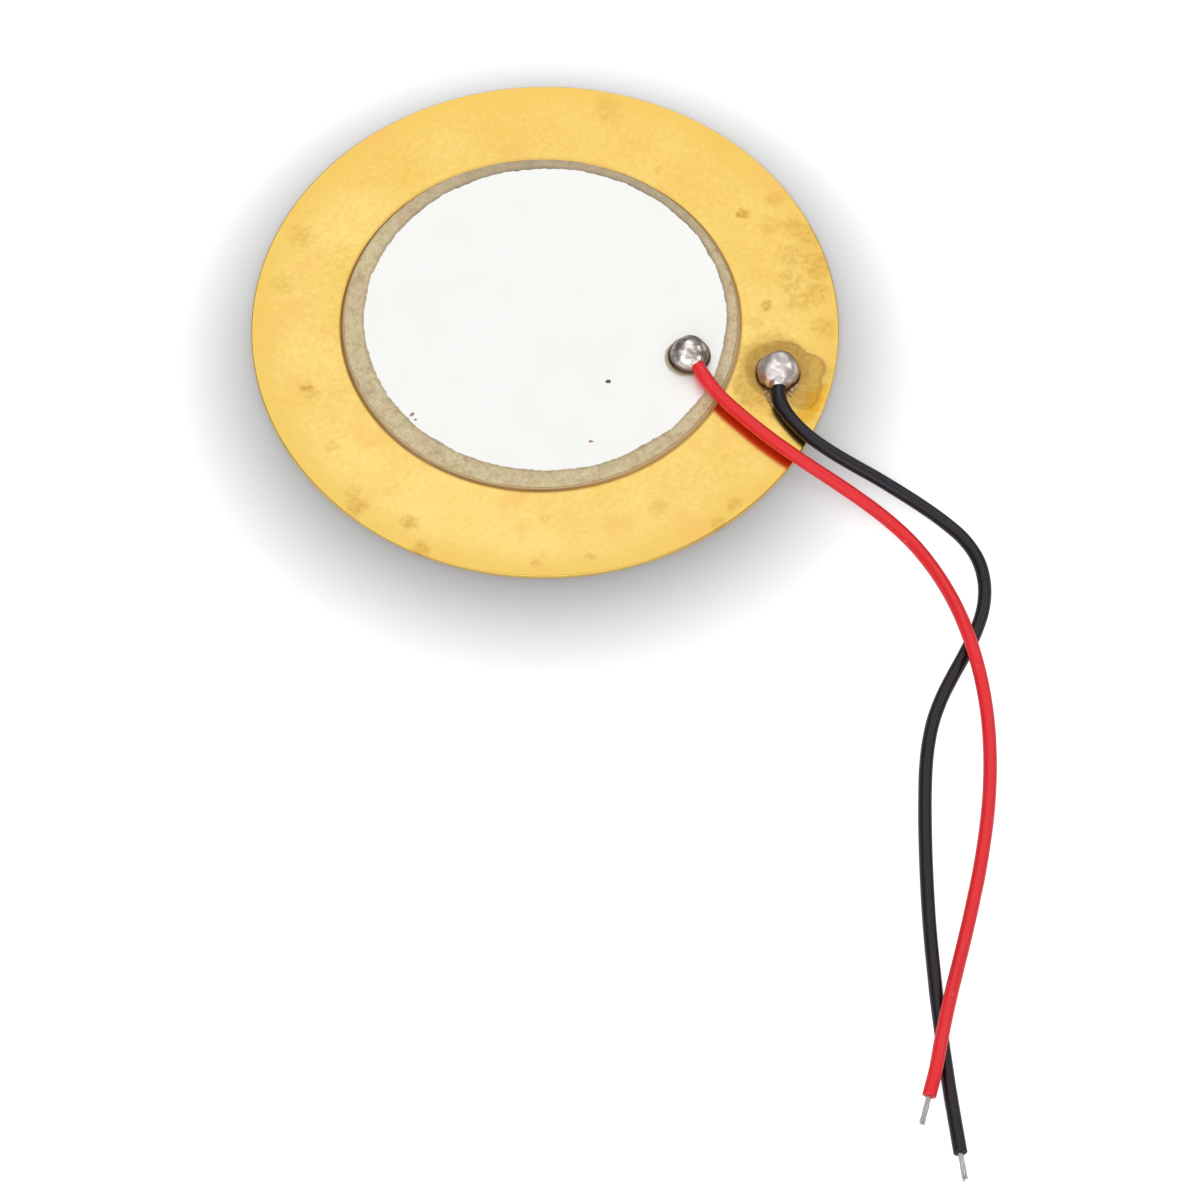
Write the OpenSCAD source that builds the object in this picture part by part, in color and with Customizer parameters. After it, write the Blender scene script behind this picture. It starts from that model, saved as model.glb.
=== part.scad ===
// Piezo disc: a thin ceramic disc bonded to a brass plate, with two soldered leads.
// Origin: the centre of the plate's underside. +X runs from the centre through both
// solder joints, and +Z is up, out of the face that carries the ceramic.

/* [Brass plate] */
// Diameter of the punched brass plate
plate_d = 35; // [33:0.5:38]
// Thickness of the brass sheet
plate_t = 0.3; // [0.15:0.05:0.5]
// Radius of the edge that the punch rolls over, on the upper side
plate_edge_r = 0.06; // [0.02:0.01:0.1]

/* [Bond] */
// Thickness of the resin film between the plate and the ceramic
bond_t = 0.02; // [0.01:0.01:0.06]
// Width of the bead of resin squeezed out round the ceramic
bead_w = 0.15; // [0.05:0.05:0.4]
// Height of that bead against the ceramic's edge
bead_h = 0.1; // [0.04:0.02:0.14]

/* [Ceramic] */
// Diameter of the ceramic disc
ceramic_d = 23.4; // [21:0.1:24.8]
// Thickness of the ceramic disc
ceramic_t = 0.19; // [0.15:0.01:0.4]
// Radius of the lapped edges of the ceramic
ceramic_edge_r = 0.03; // [0.01:0.01:0.06]
// How far off the plate's centre the ceramic was bonded, along X
ceramic_x = -0.3; // [-0.6:0.05:0.3]
// How far off the plate's centre the ceramic was bonded, along Y
ceramic_y = 0.15; // [-0.6:0.05:0.6]

/* [Electrodes] */
// Thickness of each fired silver layer
electrode_t = 0.01; // [0.01:0.005:0.04]
// Bare ceramic left round the upper silver layer
upper_margin = 0.9; // [0.5:0.05:2]
// Bare ceramic left round the lower silver layer
lower_margin = 0.3; // [0.1:0.05:1]
// How far off the ceramic's centre the upper silver was printed, along X
upper_x = 0.2; // [-0.3:0.05:0.3]
// How far off the ceramic's centre the upper silver was printed, along Y
upper_y = 0.28; // [-0.3:0.02:0.3]

/* [Solder joints] */
// Diameter of the solder ball on the silver
signal_joint_d = 2.5; // [2.2:0.1:3]
// Diameter of the solder ball on the brass
ground_joint_d = 2.7; // [2.2:0.1:3.2]
// Height of a ball's widest girth above the face it wets
girth_h = 0.1; // [0:0.02:0.3]
// Distance from the signal joint's centre to the edge of the silver
signal_inset = 1.8; // [1.7:0.1:4]
// How far the ground joint sits in from the middle of the bare brass, towards the ceramic
ground_inset = 0.3; // [-0.6:0.1:0.8]
// Place of the signal joint across the line of the joints
signal_y = -0.05; // [-0.6:0.05:0.6]
// Place of the ground joint across the line of the joints
ground_y = 0.3; // [-0.6:0.05:0.6]
// Thickness of the collar of solder that climbs each lead's end
collar_t = 0.14; // [0.08:0.02:0.2]

/* [Flux residue] */
// Thickness of the dried rosin round each joint
flux_t = 0.03; // [0.02:0.01:0.08]
// How far the rosin patch spreads past the signal joint
signal_flux_spread = 0.1; // [0.05:0.05:0.3]
// How far the main rosin patch spreads past the ground joint
ground_flux_spread = 0.9; // [0.6:0.05:1.2]

/* [Leads] */
// Outer diameter of each lead's insulation
lead_d = 0.8; // [0.6:0.05:0.9]
// Height of a lead's axis above the face that its joint wets
lead_rise = 0.5; // [0.45:0.05:0.7]
// Distance from the signal joint's centre to the cut end of the red insulation
red_reach = 0.6; // [0.5:0.05:0.9]
// Distance from the ground joint's centre to the cut end of the black insulation
black_reach = 1.0; // [0.8:0.05:1.1]
// Distance from a joint's centre to the end of the straight stretch of its lead
straight_reach = 2.2; // [1.9:0.1:2.5]
// Direction in which the red lead leaves its joint, from +X
red_angle = -44; // [-60:1:-40]
// Direction in which the black lead leaves its joint, from +X
black_angle = -74; // [-80:1:-65]
// Diameter of one tinned strand of the core
strand_d = 0.116; // [0.09:0.002:0.14]
// Lay of the strands: the length of one full twist
strand_lay = 5; // [3:0.5:12]
// Length of bare core inside each joint
joint_end_l = 1.1; // [0.6:0.1:1.3]
// Length of bare tinned core at each free end
free_end_l = 1.7; // [1:0.1:4]

/* [Hidden] */

// Smoothness of round forms, and clearance between pieces that fit in one another
$fn = 96;
fit_gap = 0.01;

// Heights of the faces, from the table up
bond_z = plate_t;
lower_electrode_z = bond_z + bond_t;
ceramic_z = lower_electrode_z + electrode_t;
upper_electrode_z = ceramic_z + ceramic_t;
top_z = upper_electrode_z + electrode_t;

// Radii of the plate and of the layers on it
plate_r = plate_d / 2;
ceramic_r = ceramic_d / 2;
upper_r = ceramic_r - upper_margin;
lower_r = ceramic_r - lower_margin;
bead_r = ceramic_r + bead_w;

// Centres of the layers and of the joints, each joint on the face that it wets
ceramic_at = [ceramic_x, ceramic_y, 0];
upper_at = ceramic_at + [upper_x, upper_y, 0];
signal_at = [upper_at[0] + upper_r - signal_inset, signal_y, top_z];
bare_brass_in = ceramic_at[0] + bead_r;
ground_at = [(bare_brass_in + plate_r) / 2 - ground_inset, ground_y, plate_t];

// Patches of rosin, as centre from the joint and diameter: the first lies round the
// joint, and the others are where it ran towards the rim
signal_flux_patches = [[-0.15, -0.15, signal_joint_d + 2 * signal_flux_spread]];
ground_flux_patches = [
    [0, 0.3, ground_joint_d + 2 * ground_flux_spread], [1.9, -0.4, 2.4], [2.1, -1.5, 2]
];

// Core of a lead: six strands laid round one, each tinned to the next
strands_round = 6;
strand_pitch_r = 0.1;
core_r = strand_pitch_r + strand_d / 2;
strand_sides = 10;
strand_slices_per_mm = 4;

// Routes of the leads after their straight stretch. Each point gives the distance past
// the rim along X, the place along Y, and the height of the axis in lead diameters: a
// lead lies on the table at about 0.5, and crosses over the other one at about 1.5.
lead_sides = 8;
red_points = [
    [-5.76, -2.71, 1.23], [-4.40, -3.61, 1.20], [-2.98, -4.41, 1.19], [-1.51, -5.13, 1.17],
    [-0.01, -5.76, 1.07], [1.51, -6.34, 0.92], [3.03, -6.94, 0.76], [4.52, -7.59, 0.61],
    [5.96, -8.37, 0.55], [7.30, -9.29, 0.57], [8.50, -10.39, 0.74], [9.57, -11.62, 1.09],
    [10.55, -12.92, 1.42], [11.46, -14.27, 1.58], [12.31, -15.66, 1.52], [13.09, -17.09, 1.21],
    [13.77, -18.57, 0.85], [14.34, -20.10, 0.60], [14.80, -21.67, 0.52], [15.18, -23.25, 0.52],
    [15.49, -24.85, 0.52], [15.73, -26.47, 0.52], [15.91, -28.09, 0.52], [16.05, -29.71, 0.52],
    [16.14, -31.34, 0.52], [16.21, -32.97, 0.53], [16.26, -34.60, 0.58], [16.31, -36.23, 0.87],
    [16.37, -37.85, 1.31], [16.44, -39.48, 1.56], [16.54, -41.11, 1.59], [16.66, -42.74, 1.46],
    [16.66, -44.37, 1.11]
];
black_points = [
    [-1.75, -2.73, 1.08], [-0.42, -3.67, 1.09], [1.05, -4.40, 1.03], [2.58, -4.98, 0.87],
    [4.14, -5.48, 0.70], [5.68, -6.02, 0.58], [7.20, -6.63, 0.53], [8.68, -7.34, 0.52],
    [10.07, -8.20, 0.52], [11.20, -9.37, 0.52], [11.92, -10.84, 0.52], [12.23, -12.44, 0.52],
    [12.19, -14.07, 0.52], [11.94, -15.69, 0.52], [11.61, -17.29, 0.52], [11.33, -18.91, 0.52],
    [11.21, -20.54, 0.52], [11.30, -22.17, 0.52], [11.54, -23.79, 0.52], [11.88, -25.39, 0.52],
    [12.26, -26.98, 0.52], [12.67, -28.57, 0.52], [13.10, -30.15, 0.52], [13.55, -31.72, 0.52],
    [14.02, -33.29, 0.52], [14.52, -34.85, 0.52], [15.04, -36.40, 0.52], [15.57, -37.95, 0.52],
    [16.13, -39.49, 0.52], [16.70, -41.02, 0.52], [17.29, -42.55, 0.52], [17.89, -44.07, 0.52],
    [18.51, -45.59, 0.52], [19.13, -47.10, 0.52]
];

// A point on a lead's axis, at a distance out of its joint
function out_of_joint(joint_at, angle, distance) =
    joint_at + [distance * cos(angle), distance * sin(angle), lead_rise];

// The whole route: the cut end, the end of the straight stretch, then the chosen points
function route(joint_at, angle, reach, points) = concat(
    [
        out_of_joint(joint_at, angle, reach),
        out_of_joint(joint_at, angle, straight_reach)
    ],
    [for (p = points) [plate_r + p[0], p[1], p[2] * lead_d]]
);

red_route = route(signal_at, red_angle, red_reach, red_points);
black_route = route(ground_at, black_angle, black_reach, black_points);

// Direction of a route at one of its points
function unit(v) = v / norm(v);
function heading(path, i) =
    unit(path[min(i + 1, len(path) - 1)] - path[max(i - 1, 0)]);

// Corners of the ring round a route at one of its points, square to its direction
function ring(path, i, r) =
    let (
        along = heading(path, i),
        across = unit(cross([0, 0, 1], along)),
        up = cross(along, across)
    )
    [
        for (k = [0:lead_sides - 1])
            let (a = 360 * (k + 0.5) / lead_sides)
            path[i] + r * cos(a) * across + r * sin(a) * up
    ];

// Disc with its upper edge rounded, and the lower one too if both is true
module edged_disc(r, t, edge_r, both = false) {
    foot = both ? edge_r : 0;
    rotate_extrude() {
        square([r - edge_r, t]);
        translate([0, foot]) square([r, t - edge_r - foot]);
        translate([r - edge_r, t - edge_r]) circle(edge_r);
        if (both) translate([r - edge_r, edge_r]) circle(edge_r);
    }
}

// Tube along a route, flat at both ends
module tube_along(path, d) {
    n = len(path);
    s = lead_sides;
    rings = [for (i = [0:n - 1]) each ring(path, i, d / 2)];
    walls = [
        for (i = [0:n - 2], k = [0:s - 1])
            let (m = (k + 1) % s)
            [i * s + k, (i + 1) * s + k, (i + 1) * s + m, i * s + m]
    ];
    near_end = [for (k = [0:s - 1]) k];
    far_end = [for (k = [s - 1:-1:0]) (n - 1) * s + k];
    polyhedron(rings, concat(walls, [near_end, far_end]));
}

// Places what points along +Z at a point, turned to a direction
module aim(at, along) {
    translate(at)
        rotate([0, acos(along[2]), atan2(along[1], along[0])])
            children();
}

// Bare core of a lead: the strands with their twist, round a heart filled with tin
module twisted_core(length) {
    linear_extrude(
        height = length,
        twist = -360 * length / strand_lay,
        slices = ceil(length * strand_slices_per_mm),
        $fn = strand_sides
    ) {
        circle(r = strand_pitch_r);
        for (k = [0:strands_round - 1])
            rotate(360 * k / strands_round)
                translate([strand_pitch_r, 0])
                    circle(d = strand_d);
    }
}

// Solder ball that wets a face, with a collar up the lead's end, bored for the lead
module solder_joint(joint_at, d, angle, path) {
    outward = [cos(angle), sin(angle), 0];
    cut_end = path[0];
    difference() {
        intersection() {
            union() {
                translate(joint_at + [0, 0, girth_h]) rotate(angle + 180) sphere(d = d);
                translate(cut_end) rotate(angle + 180) sphere(r = lead_d / 2 + collar_t);
            }
            translate(joint_at) cylinder(r = d, h = 2 * d);
        }
        aim(cut_end, outward) cylinder(r = lead_d / 2 + fit_gap, h = d);
        aim(cut_end, -outward) cylinder(r = core_r + fit_gap, h = joint_end_l + fit_gap);
    }
}

// Thin patches of rosin on a face, open round the joint
module flux_patches(joint_at, patches, joint_d) {
    difference() {
        for (p = patches)
            translate(joint_at + [p[0], p[1], 0]) cylinder(d = p[2], h = flux_t);
        translate(joint_at - [0, 0, flux_t])
            cylinder(r = joint_d / 2 + fit_gap, h = 3 * flux_t);
    }
}

module brass_plate() {
    color("#f2c45a") edged_disc(plate_r, plate_t, plate_edge_r);
}

// The resin lies under the whole ceramic and stands in a bead round its edge
module bond_film() {
    bead_in = ceramic_r + fit_gap;
    color("#8a6a3a") translate(ceramic_at + [0, 0, bond_z]) {
        cylinder(r = bead_r, h = bond_t);
        rotate_extrude() polygon([
            [bead_in, 0], [bead_r, 0], [bead_r, bond_t], [bead_in, bond_t + bead_h]
        ]);
    }
}

module lower_electrode() {
    color("#dcdcd8") translate(ceramic_at + [0, 0, lower_electrode_z])
        cylinder(r = lower_r, h = electrode_t);
}

module ceramic_disc() {
    color("#c8b993") translate(ceramic_at + [0, 0, ceramic_z])
        edged_disc(ceramic_r, ceramic_t, ceramic_edge_r, both = true);
}

module upper_electrode() {
    color("#fafaf7") translate(upper_at + [0, 0, upper_electrode_z])
        cylinder(r = upper_r, h = electrode_t);
}

module signal_joint() {
    color("#b9b4b2") solder_joint(signal_at, signal_joint_d, red_angle, red_route);
}

module ground_joint() {
    color("#c4bcb6") solder_joint(ground_at, ground_joint_d, black_angle, black_route);
}

module signal_flux() {
    color("#b6a583") flux_patches(signal_at, signal_flux_patches, signal_joint_d);
}

// The rosin on the brass stops short of the rim's roll and of the resin bead
module ground_flux() {
    color("#b08a2c") difference() {
        intersection() {
            flux_patches(ground_at, ground_flux_patches, ground_joint_d);
            cylinder(r = plate_r - plate_edge_r - fit_gap, h = plate_t + 2 * flux_t);
        }
        translate(ceramic_at) cylinder(r = bead_r + fit_gap, h = plate_t + 2 * flux_t);
    }
}

module red_lead() {
    color("#e8323c") tube_along(red_route, lead_d);
}

module black_lead() {
    color("#1e1a26") tube_along(black_route, lead_d);
}

// Bare core from the cut end of the insulation back into the solder
module red_joint_end() {
    color("#c9c4bc") aim(red_route[0], -heading(red_route, 0)) twisted_core(joint_end_l);
}

module black_joint_end() {
    color("#c9c4bc") aim(black_route[0], -heading(black_route, 0)) twisted_core(joint_end_l);
}

// Bare tinned core past the far end of the insulation
module red_free_end() {
    last = len(red_route) - 1;
    color("#d6d3cd") aim(red_route[last], heading(red_route, last)) twisted_core(free_end_l);
}

module black_free_end() {
    last = len(black_route) - 1;
    color("#d6d3cd") aim(black_route[last], heading(black_route, last)) twisted_core(free_end_l);
}

brass_plate();
bond_film();
lower_electrode();
ceramic_disc();
upper_electrode();
signal_joint();
ground_joint();
signal_flux();
ground_flux();
red_lead();
black_lead();
red_joint_end();
black_joint_end();
red_free_end();
black_free_end();
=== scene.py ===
import math

import bmesh
import bpy
from mathutils import Matrix, Vector, noise


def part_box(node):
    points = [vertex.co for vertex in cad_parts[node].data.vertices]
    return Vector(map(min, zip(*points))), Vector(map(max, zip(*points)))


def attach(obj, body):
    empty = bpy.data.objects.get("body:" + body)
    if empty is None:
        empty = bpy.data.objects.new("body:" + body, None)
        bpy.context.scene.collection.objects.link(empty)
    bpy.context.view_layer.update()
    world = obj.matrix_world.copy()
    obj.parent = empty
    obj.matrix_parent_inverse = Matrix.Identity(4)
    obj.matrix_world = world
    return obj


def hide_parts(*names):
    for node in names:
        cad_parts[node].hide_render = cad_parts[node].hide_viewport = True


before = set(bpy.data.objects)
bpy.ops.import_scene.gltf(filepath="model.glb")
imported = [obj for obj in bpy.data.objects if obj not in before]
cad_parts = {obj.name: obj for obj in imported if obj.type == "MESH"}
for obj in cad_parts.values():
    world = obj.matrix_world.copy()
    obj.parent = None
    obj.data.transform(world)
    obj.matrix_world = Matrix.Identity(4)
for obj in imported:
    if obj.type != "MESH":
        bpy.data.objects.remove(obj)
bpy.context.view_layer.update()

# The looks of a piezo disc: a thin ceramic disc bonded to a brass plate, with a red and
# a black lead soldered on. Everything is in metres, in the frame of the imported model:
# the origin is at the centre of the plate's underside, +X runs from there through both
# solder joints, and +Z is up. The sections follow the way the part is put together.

MM = 0.001


# ---------------------------------------------------------------------------------
# Brass plate
# A blank punched out of rolled brass strip. The punch draws the upper edge down into a
# small roll, shears the rim bright, and tears the last third of it, so that the rim is
# smooth above and rough below.
# ---------------------------------------------------------------------------------

ROUND = 480                # points round each turned outline
EDGE_ROLL = 0.08 * MM      # radius of the rolled upper edge
TEAR_HEIGHT = 0.10 * MM    # height of the torn part of the rim
TEAR_DEPTH = 0.02 * MM     # how far the tear bites in


def turns(count):
    """The angles of that many points spaced evenly round a circle."""
    return [2 * math.pi * k / count for k in range(count)]


def circle(radius, z, centre=(0, 0), wobble=lambda angle: 0.0):
    """One ring of points round a centre, at a height, each pushed out by a wobble."""
    ring = []
    for angle in turns(ROUND):
        r = radius + wobble(angle)
        ring.append((centre[0] + r * math.cos(angle), centre[1] + r * math.sin(angle), z))
    return ring


def skin(name, rings, loop=False, sharp=35):
    """A closed piece over rings of points, each end closed by a fan, or joined in a loop."""
    count = len(rings[0])
    mesh = bpy.data.meshes.new(name)
    shell = bmesh.new()
    rows = [[shell.verts.new(p) for p in ring] for ring in rings]
    pairs = list(zip(rows, rows[1:])) + ([(rows[-1], rows[0])] if loop else [])
    for a, b in pairs:
        for k in range(count):
            m = (k + 1) % count
            shell.faces.new((a[k], a[m], b[m], b[k]))
    for row in [] if loop else (rows[0], rows[-1]):
        middle = shell.verts.new(sum((v.co for v in row), Vector()) / count)
        for k in range(count):
            shell.faces.new((row[k], row[(k + 1) % count], middle))
    bmesh.ops.recalc_face_normals(shell, faces=shell.faces)
    shell.to_mesh(mesh)
    shell.free()
    mesh.shade_smooth()
    mesh.set_sharp_from_angle(angle=math.radians(sharp))
    piece = bpy.data.objects.new(name, mesh)
    bpy.context.scene.collection.objects.link(piece)
    return piece


def ripple(x, y, pitch, seed):
    """Smooth noise from -1 to 1 at a place, with features about as wide as the pitch."""
    return noise.noise(Vector((x / pitch, y / pitch, seed)))


def ripple_round(angle, pitch, seed):
    """The same noise round a circle, with its pitch as a share of the radius."""
    return ripple(math.cos(angle), math.sin(angle), pitch, seed)


def measured(node):
    """From a solid's box: its centre, its radius, its underside and its top."""
    low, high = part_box(node)
    return ((low.x + high.x) / 2, (low.y + high.y) / 2), (high.x - low.x) / 2, low.z, high.z


plate_r, plate_foot, plate_top = measured("brass_plate")[1:]
ceramic_at, ceramic_r, ceramic_foot, ceramic_top = measured("ceramic_disc")


def torn(angle):
    """How far the torn part of the rim stands back."""
    return -TEAR_DEPTH * (0.6 + 0.4 * ripple_round(angle, 0.012, 3.1))


# Torn zone, sheared zone, roll, and flat top
outline = [
    circle(plate_r - 0.05 * MM, plate_foot, wobble=torn),
    circle(plate_r, 0.02 * MM, wobble=torn),
    circle(plate_r, 0.06 * MM, wobble=torn),
    circle(plate_r, TEAR_HEIGHT),
    circle(plate_r, plate_top - EDGE_ROLL),
]
for degrees in range(15, 91, 15):
    turn = math.radians(degrees)
    drop = EDGE_ROLL * (1 - math.sin(turn))
    outline.append(circle(plate_r - EDGE_ROLL * (1 - math.cos(turn)), plate_top - drop))
for inset in (0.09, 0.5, 1.5, 3, 6, 9, 13, 16.5):
    outline.append(circle(plate_r - inset * MM, plate_top))
plate = skin("punched_brass_plate", outline)


def paint(code):
    """Linear colour of an sRGB hex code."""
    parts = [int(code[i:i + 2], 16) / 255 for i in (1, 3, 5)]
    return tuple(c / 12.92 if c <= 0.04045 else ((c + 0.055) / 1.055) ** 2.4 for c in parts) + (1,)


def socket(sockets, key=0):
    """Of the sockets that a node's settings leave in use, the one of that number or name."""
    used = [s for s in sockets if s.enabled]
    return used[key] if isinstance(key, int) else next(s for s in used if key in (s.identifier, s.name))


def add_node(tree, kind, inputs=(), **settings):
    """Adds a node, with its inputs named or in their order. Each is a value, the node that
    it comes from, or that node and its output."""
    node = tree.nodes.new(kind)
    for key, value in settings.items():
        setattr(node, key, value)
    named = inputs if isinstance(inputs, dict) else dict(enumerate(inputs))
    for key, given in named.items():
        source = given if isinstance(given, tuple) else (given,)
        if isinstance(source[0], bpy.types.Node):
            tree.links.new(socket(source[0].outputs, *source[1:]), socket(node.inputs, key))
        else:
            socket(node.inputs, key).default_value = given
    return node


def finish(name):
    """A new material, its empty node tree, and the Object coordinates for its patterns."""
    material = bpy.data.materials.new(name)
    material.use_nodes = True
    tree = material.node_tree
    tree.nodes.clear()
    return material, tree, (add_node(tree, "ShaderNodeTexCoord"), "Object")


def per_mm(pitch):
    """Scale of a pattern whose features are about that many millimetres wide."""
    return 1 / (pitch * MM)


def tint(tree, colour, code, value, low, high, most=1.0, easing="SMOOTHSTEP"):
    """Lays a tint over a colour, thicker as a value goes from low to high."""
    share = add_node(
        tree, "ShaderNodeMapRange", {"Value": value, "From Min": low, "From Max": high, "To Max": most},
        interpolation_type=easing,
    )
    return add_node(tree, "ShaderNodeMix", [share, colour, paint(code)], data_type="RGBA")


def edge_mask(tree, place, centre, z, outer, inner, front, back):
    """Mask that comes in round a centre from an outer to an inner radius. Front and back
    each give a distance along Y and how strong the mask is there."""
    away = add_node(
        tree, "ShaderNodeVectorMath", [place, (centre[0], centre[1], z)], operation="SUBTRACT",
    )
    off = add_node(tree, "ShaderNodeVectorMath", [away], operation="LENGTH")
    near = add_node(
        tree, "ShaderNodeMapRange", {"Value": off, "From Min": outer, "From Max": inner},
        interpolation_type="SMOOTHSTEP",
    )
    side = add_node(tree, "ShaderNodeSeparateXYZ", {"Vector": away})
    side = add_node(
        tree, "ShaderNodeMapRange",
        {
            "Value": (side, "Y"), "From Min": front[0], "From Max": back[0],
            "To Min": front[1], "To Max": back[1],
        },
    )
    return add_node(tree, "ShaderNodeMath", [near, side], operation="MULTIPLY")


def stained(tree, ragged, mottle, spots, speckle=0.5, core=0.35):
    """Mask of ragged stains on the brass, broken up by its fine mottling."""
    mask = None
    for x, y, size, depth in spots:
        away = add_node(
            tree, "ShaderNodeVectorMath", [ragged, (x * MM, y * MM, plate_top)], operation="DISTANCE",
        )
        spot = add_node(
            tree, "ShaderNodeMapRange",
            {"Value": away, "From Min": size * MM, "From Max": core * size * MM, "To Max": depth},
            interpolation_type="SMOOTHSTEP",
        )
        mask = spot if mask is None else add_node(
            tree, "ShaderNodeMath", [mask, spot], operation="MAXIMUM",
        )
    broken = add_node(
        tree, "ShaderNodeMapRange",
        {
            "Value": mottle, "From Min": 0.40, "From Max": 0.60,
            "To Min": 1 - speckle, "To Max": 1 + 0.4 * speckle,
        },
    )
    return add_node(tree, "ShaderNodeMath", [mask, broken], operation="MULTIPLY", use_clamp=True)


# Cold-rolled brass: a bright yellow metal with a fine orange-peel from the rolls, which
# clouds a little, tarnishes in brown spots and darkens towards the rim. Painted light makes
# it paler on the viewer's side, and painted shade a deeper yellow on the far side.
BRASS_CLEAN = "#F2D480"
BRASS_DEEP = "#E6BE5E"
BRASS_PAINTED_LIGHT = "#FADF90"
BRASS_PAINTED_SHADE = "#E2B656"
BRASS_RIM = "#E6C060"
BRASS_WARM = "#EBB867"
TARNISH = "#BC8B2E"
FLUX_TINT = "#BC9344"
HEAT_TINT = "#D8A22C"
RESIN_AND_SHADE_TINT = "#96691F"

# Each stain: X and Y in mm, radius in mm, depth of colour
tarnish_spots = [
    (9.4, 10.9, 0.5, 0.65), (12.4, 4.85, 0.45, 0.58), (11.2, 10.4, 1.0, 0.22), (11.0, 12.5, 0.9, 0.25),
    (12.6, 10.7, 1.1, 0.36), (13.7, 10.3, 1.3, 0.40), (13.0, 8.8, 1.2, 0.36), (14.6, 8.4, 1.5, 0.43),
    (13.4, 6.9, 1.3, 0.36), (14.9, 6.4, 1.3, 0.36), (14.2, 5.6, 1.1, 0.32), (16.1, 4.2, 1.1, 0.32),
    (12.0, 3.4, 0.8, 0.22), (3.7, 12.8, 0.4, 0.22), (-0.5, 16.3, 1.3, 0.22), (-12.5, -7.9, 0.55, 0.58),
    (-12.0, -8.3, 0.6, 0.29), (-15.8, 2.4, 1.2, 0.25), (-15.9, -1.2, 1.0, 0.22), (-9.9, -11.5, 0.6, 0.25),
    (-7.3, -15.1, 0.9, 0.43), (-7.8, -14.3, 0.7, 0.25), (-4.0, -15.4, 0.7, 0.47), (-2.9, -16.9, 0.8, 0.40),
    (3.8, -16.1, 0.45, 0.36), (6.9, -14.9, 0.5, 0.25), (3.6, -13.0, 0.4, 0.22), (9.8, -10.6, 0.8, 0.25),
    (14.0, -9.2, 0.6, 0.36), (13.4, -10.8, 0.7, 0.32),
]
# Where flux boiled over the hot brass round the ground joint, and where the heat tinted it
flux_stains = [
    (13.95, 0.75, 2.7, 0.8), (13.3, -0.8, 2.0, 0.65), (15.9, 0.8, 1.7, 0.4), (15.3, -1.5, 1.9, 0.45),
]
heat_stains = [
    (16.95, -0.1, 0.6, 0.7), (16.8, -0.8, 0.8, 1.0), (16.7, -1.5, 0.8, 1.0), (16.6, -2.2, 0.75, 0.8),
]

brass, tree, place = finish("cold rolled brass")
wander = add_node(
    tree, "ShaderNodeTexNoise", {"Vector": place, "Scale": per_mm(0.8), "Detail": 5, "Roughness": 0.65},
)
shift = add_node(tree, "ShaderNodeVectorMath", [(wander, "Color"), (0.5, 0.5, 0.5)], operation="SUBTRACT")
ragged = add_node(
    tree, "ShaderNodeVectorMath", [shift, (1.1 * MM, 1.1 * MM, 0), place], operation="MULTIPLY_ADD",
)
cloud = add_node(tree, "ShaderNodeTexNoise", {"Vector": place, "Scale": per_mm(5), "Detail": 3})
mottle = add_node(
    tree, "ShaderNodeTexNoise", {"Vector": place, "Scale": per_mm(0.35), "Detail": 4, "Roughness": 0.7},
)
both = add_node(tree, "ShaderNodeMix", [0.55, cloud, mottle], data_type="FLOAT")
depth = add_node(tree, "ShaderNodeMapRange", {"Value": both, "From Min": 0.35, "From Max": 0.65})
colour = add_node(tree, "ShaderNodeMix", [depth, paint(BRASS_CLEAN), paint(BRASS_DEEP)], data_type="RGBA")
across = add_node(tree, "ShaderNodeSeparateXYZ", {"Vector": ragged})
# Painted light pales the viewer's side of the plate, painted shade deepens its far side
colour = tint(tree, colour, BRASS_PAINTED_LIGHT, (across, "Y"), -7 * MM, -16 * MM, 0.27)
colour = tint(tree, colour, BRASS_PAINTED_SHADE, (across, "Y"), 2 * MM, 16 * MM, 0.30)
reach = add_node(tree, "ShaderNodeVectorMath", [ragged], operation="LENGTH")
colour = tint(tree, colour, BRASS_RIM, reach, plate_r - 2.4 * MM, plate_r, 0.8)
warmth = add_node(
    tree, "ShaderNodeTexNoise", {"Vector": ragged, "Scale": per_mm(3.2), "Detail": 4, "Roughness": 0.6},
)
colour = tint(tree, colour, BRASS_WARM, warmth, 0.52, 0.66, 0.5)
# A brown ring on the brass round the ceramic's foot, strongest on the viewer's side: partly squeezed-out
# resin, partly painted shade from the ceramic's edge
resin_smear_and_shade = edge_mask(
    tree, place, ceramic_at, plate_top, ceramic_r + 0.42 * MM, ceramic_r + 0.18 * MM,
    (-0.3 * ceramic_r, 0.8), (0.8 * ceramic_r, 0.2),
)
tarnished = stained(tree, ragged, mottle, tarnish_spots)
fluxed = stained(tree, ragged, mottle, flux_stains, 0.25, 0.6)
heated = stained(tree, ragged, mottle, heat_stains, 0.1)
for mask, code in ((resin_smear_and_shade, RESIN_AND_SHADE_TINT), (tarnished, TARNISH), (fluxed, FLUX_TINT), (heated, HEAT_TINT)):
    colour = add_node(tree, "ShaderNodeMix", [mask, colour, paint(code)], data_type="RGBA")
dulled = add_node(tree, "ShaderNodeMath", [tarnished, fluxed], operation="MAXIMUM")
gloss = add_node(tree, "ShaderNodeMapRange", {"Value": dulled, "To Min": 0.22, "To Max": 0.36})
grain = add_node(tree, "ShaderNodeMapping", {"Vector": place, "Scale": (1, 6, 1)})
grain = add_node(tree, "ShaderNodeTexNoise", {"Vector": grain, "Scale": per_mm(0.8), "Detail": 3})
height = add_node(tree, "ShaderNodeMath", [mottle, 2.0, grain], operation="MULTIPLY_ADD")
bump = add_node(tree, "ShaderNodeBump", {"Height": height, "Strength": 1.0, "Distance": 0.0008 * MM})
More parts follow.
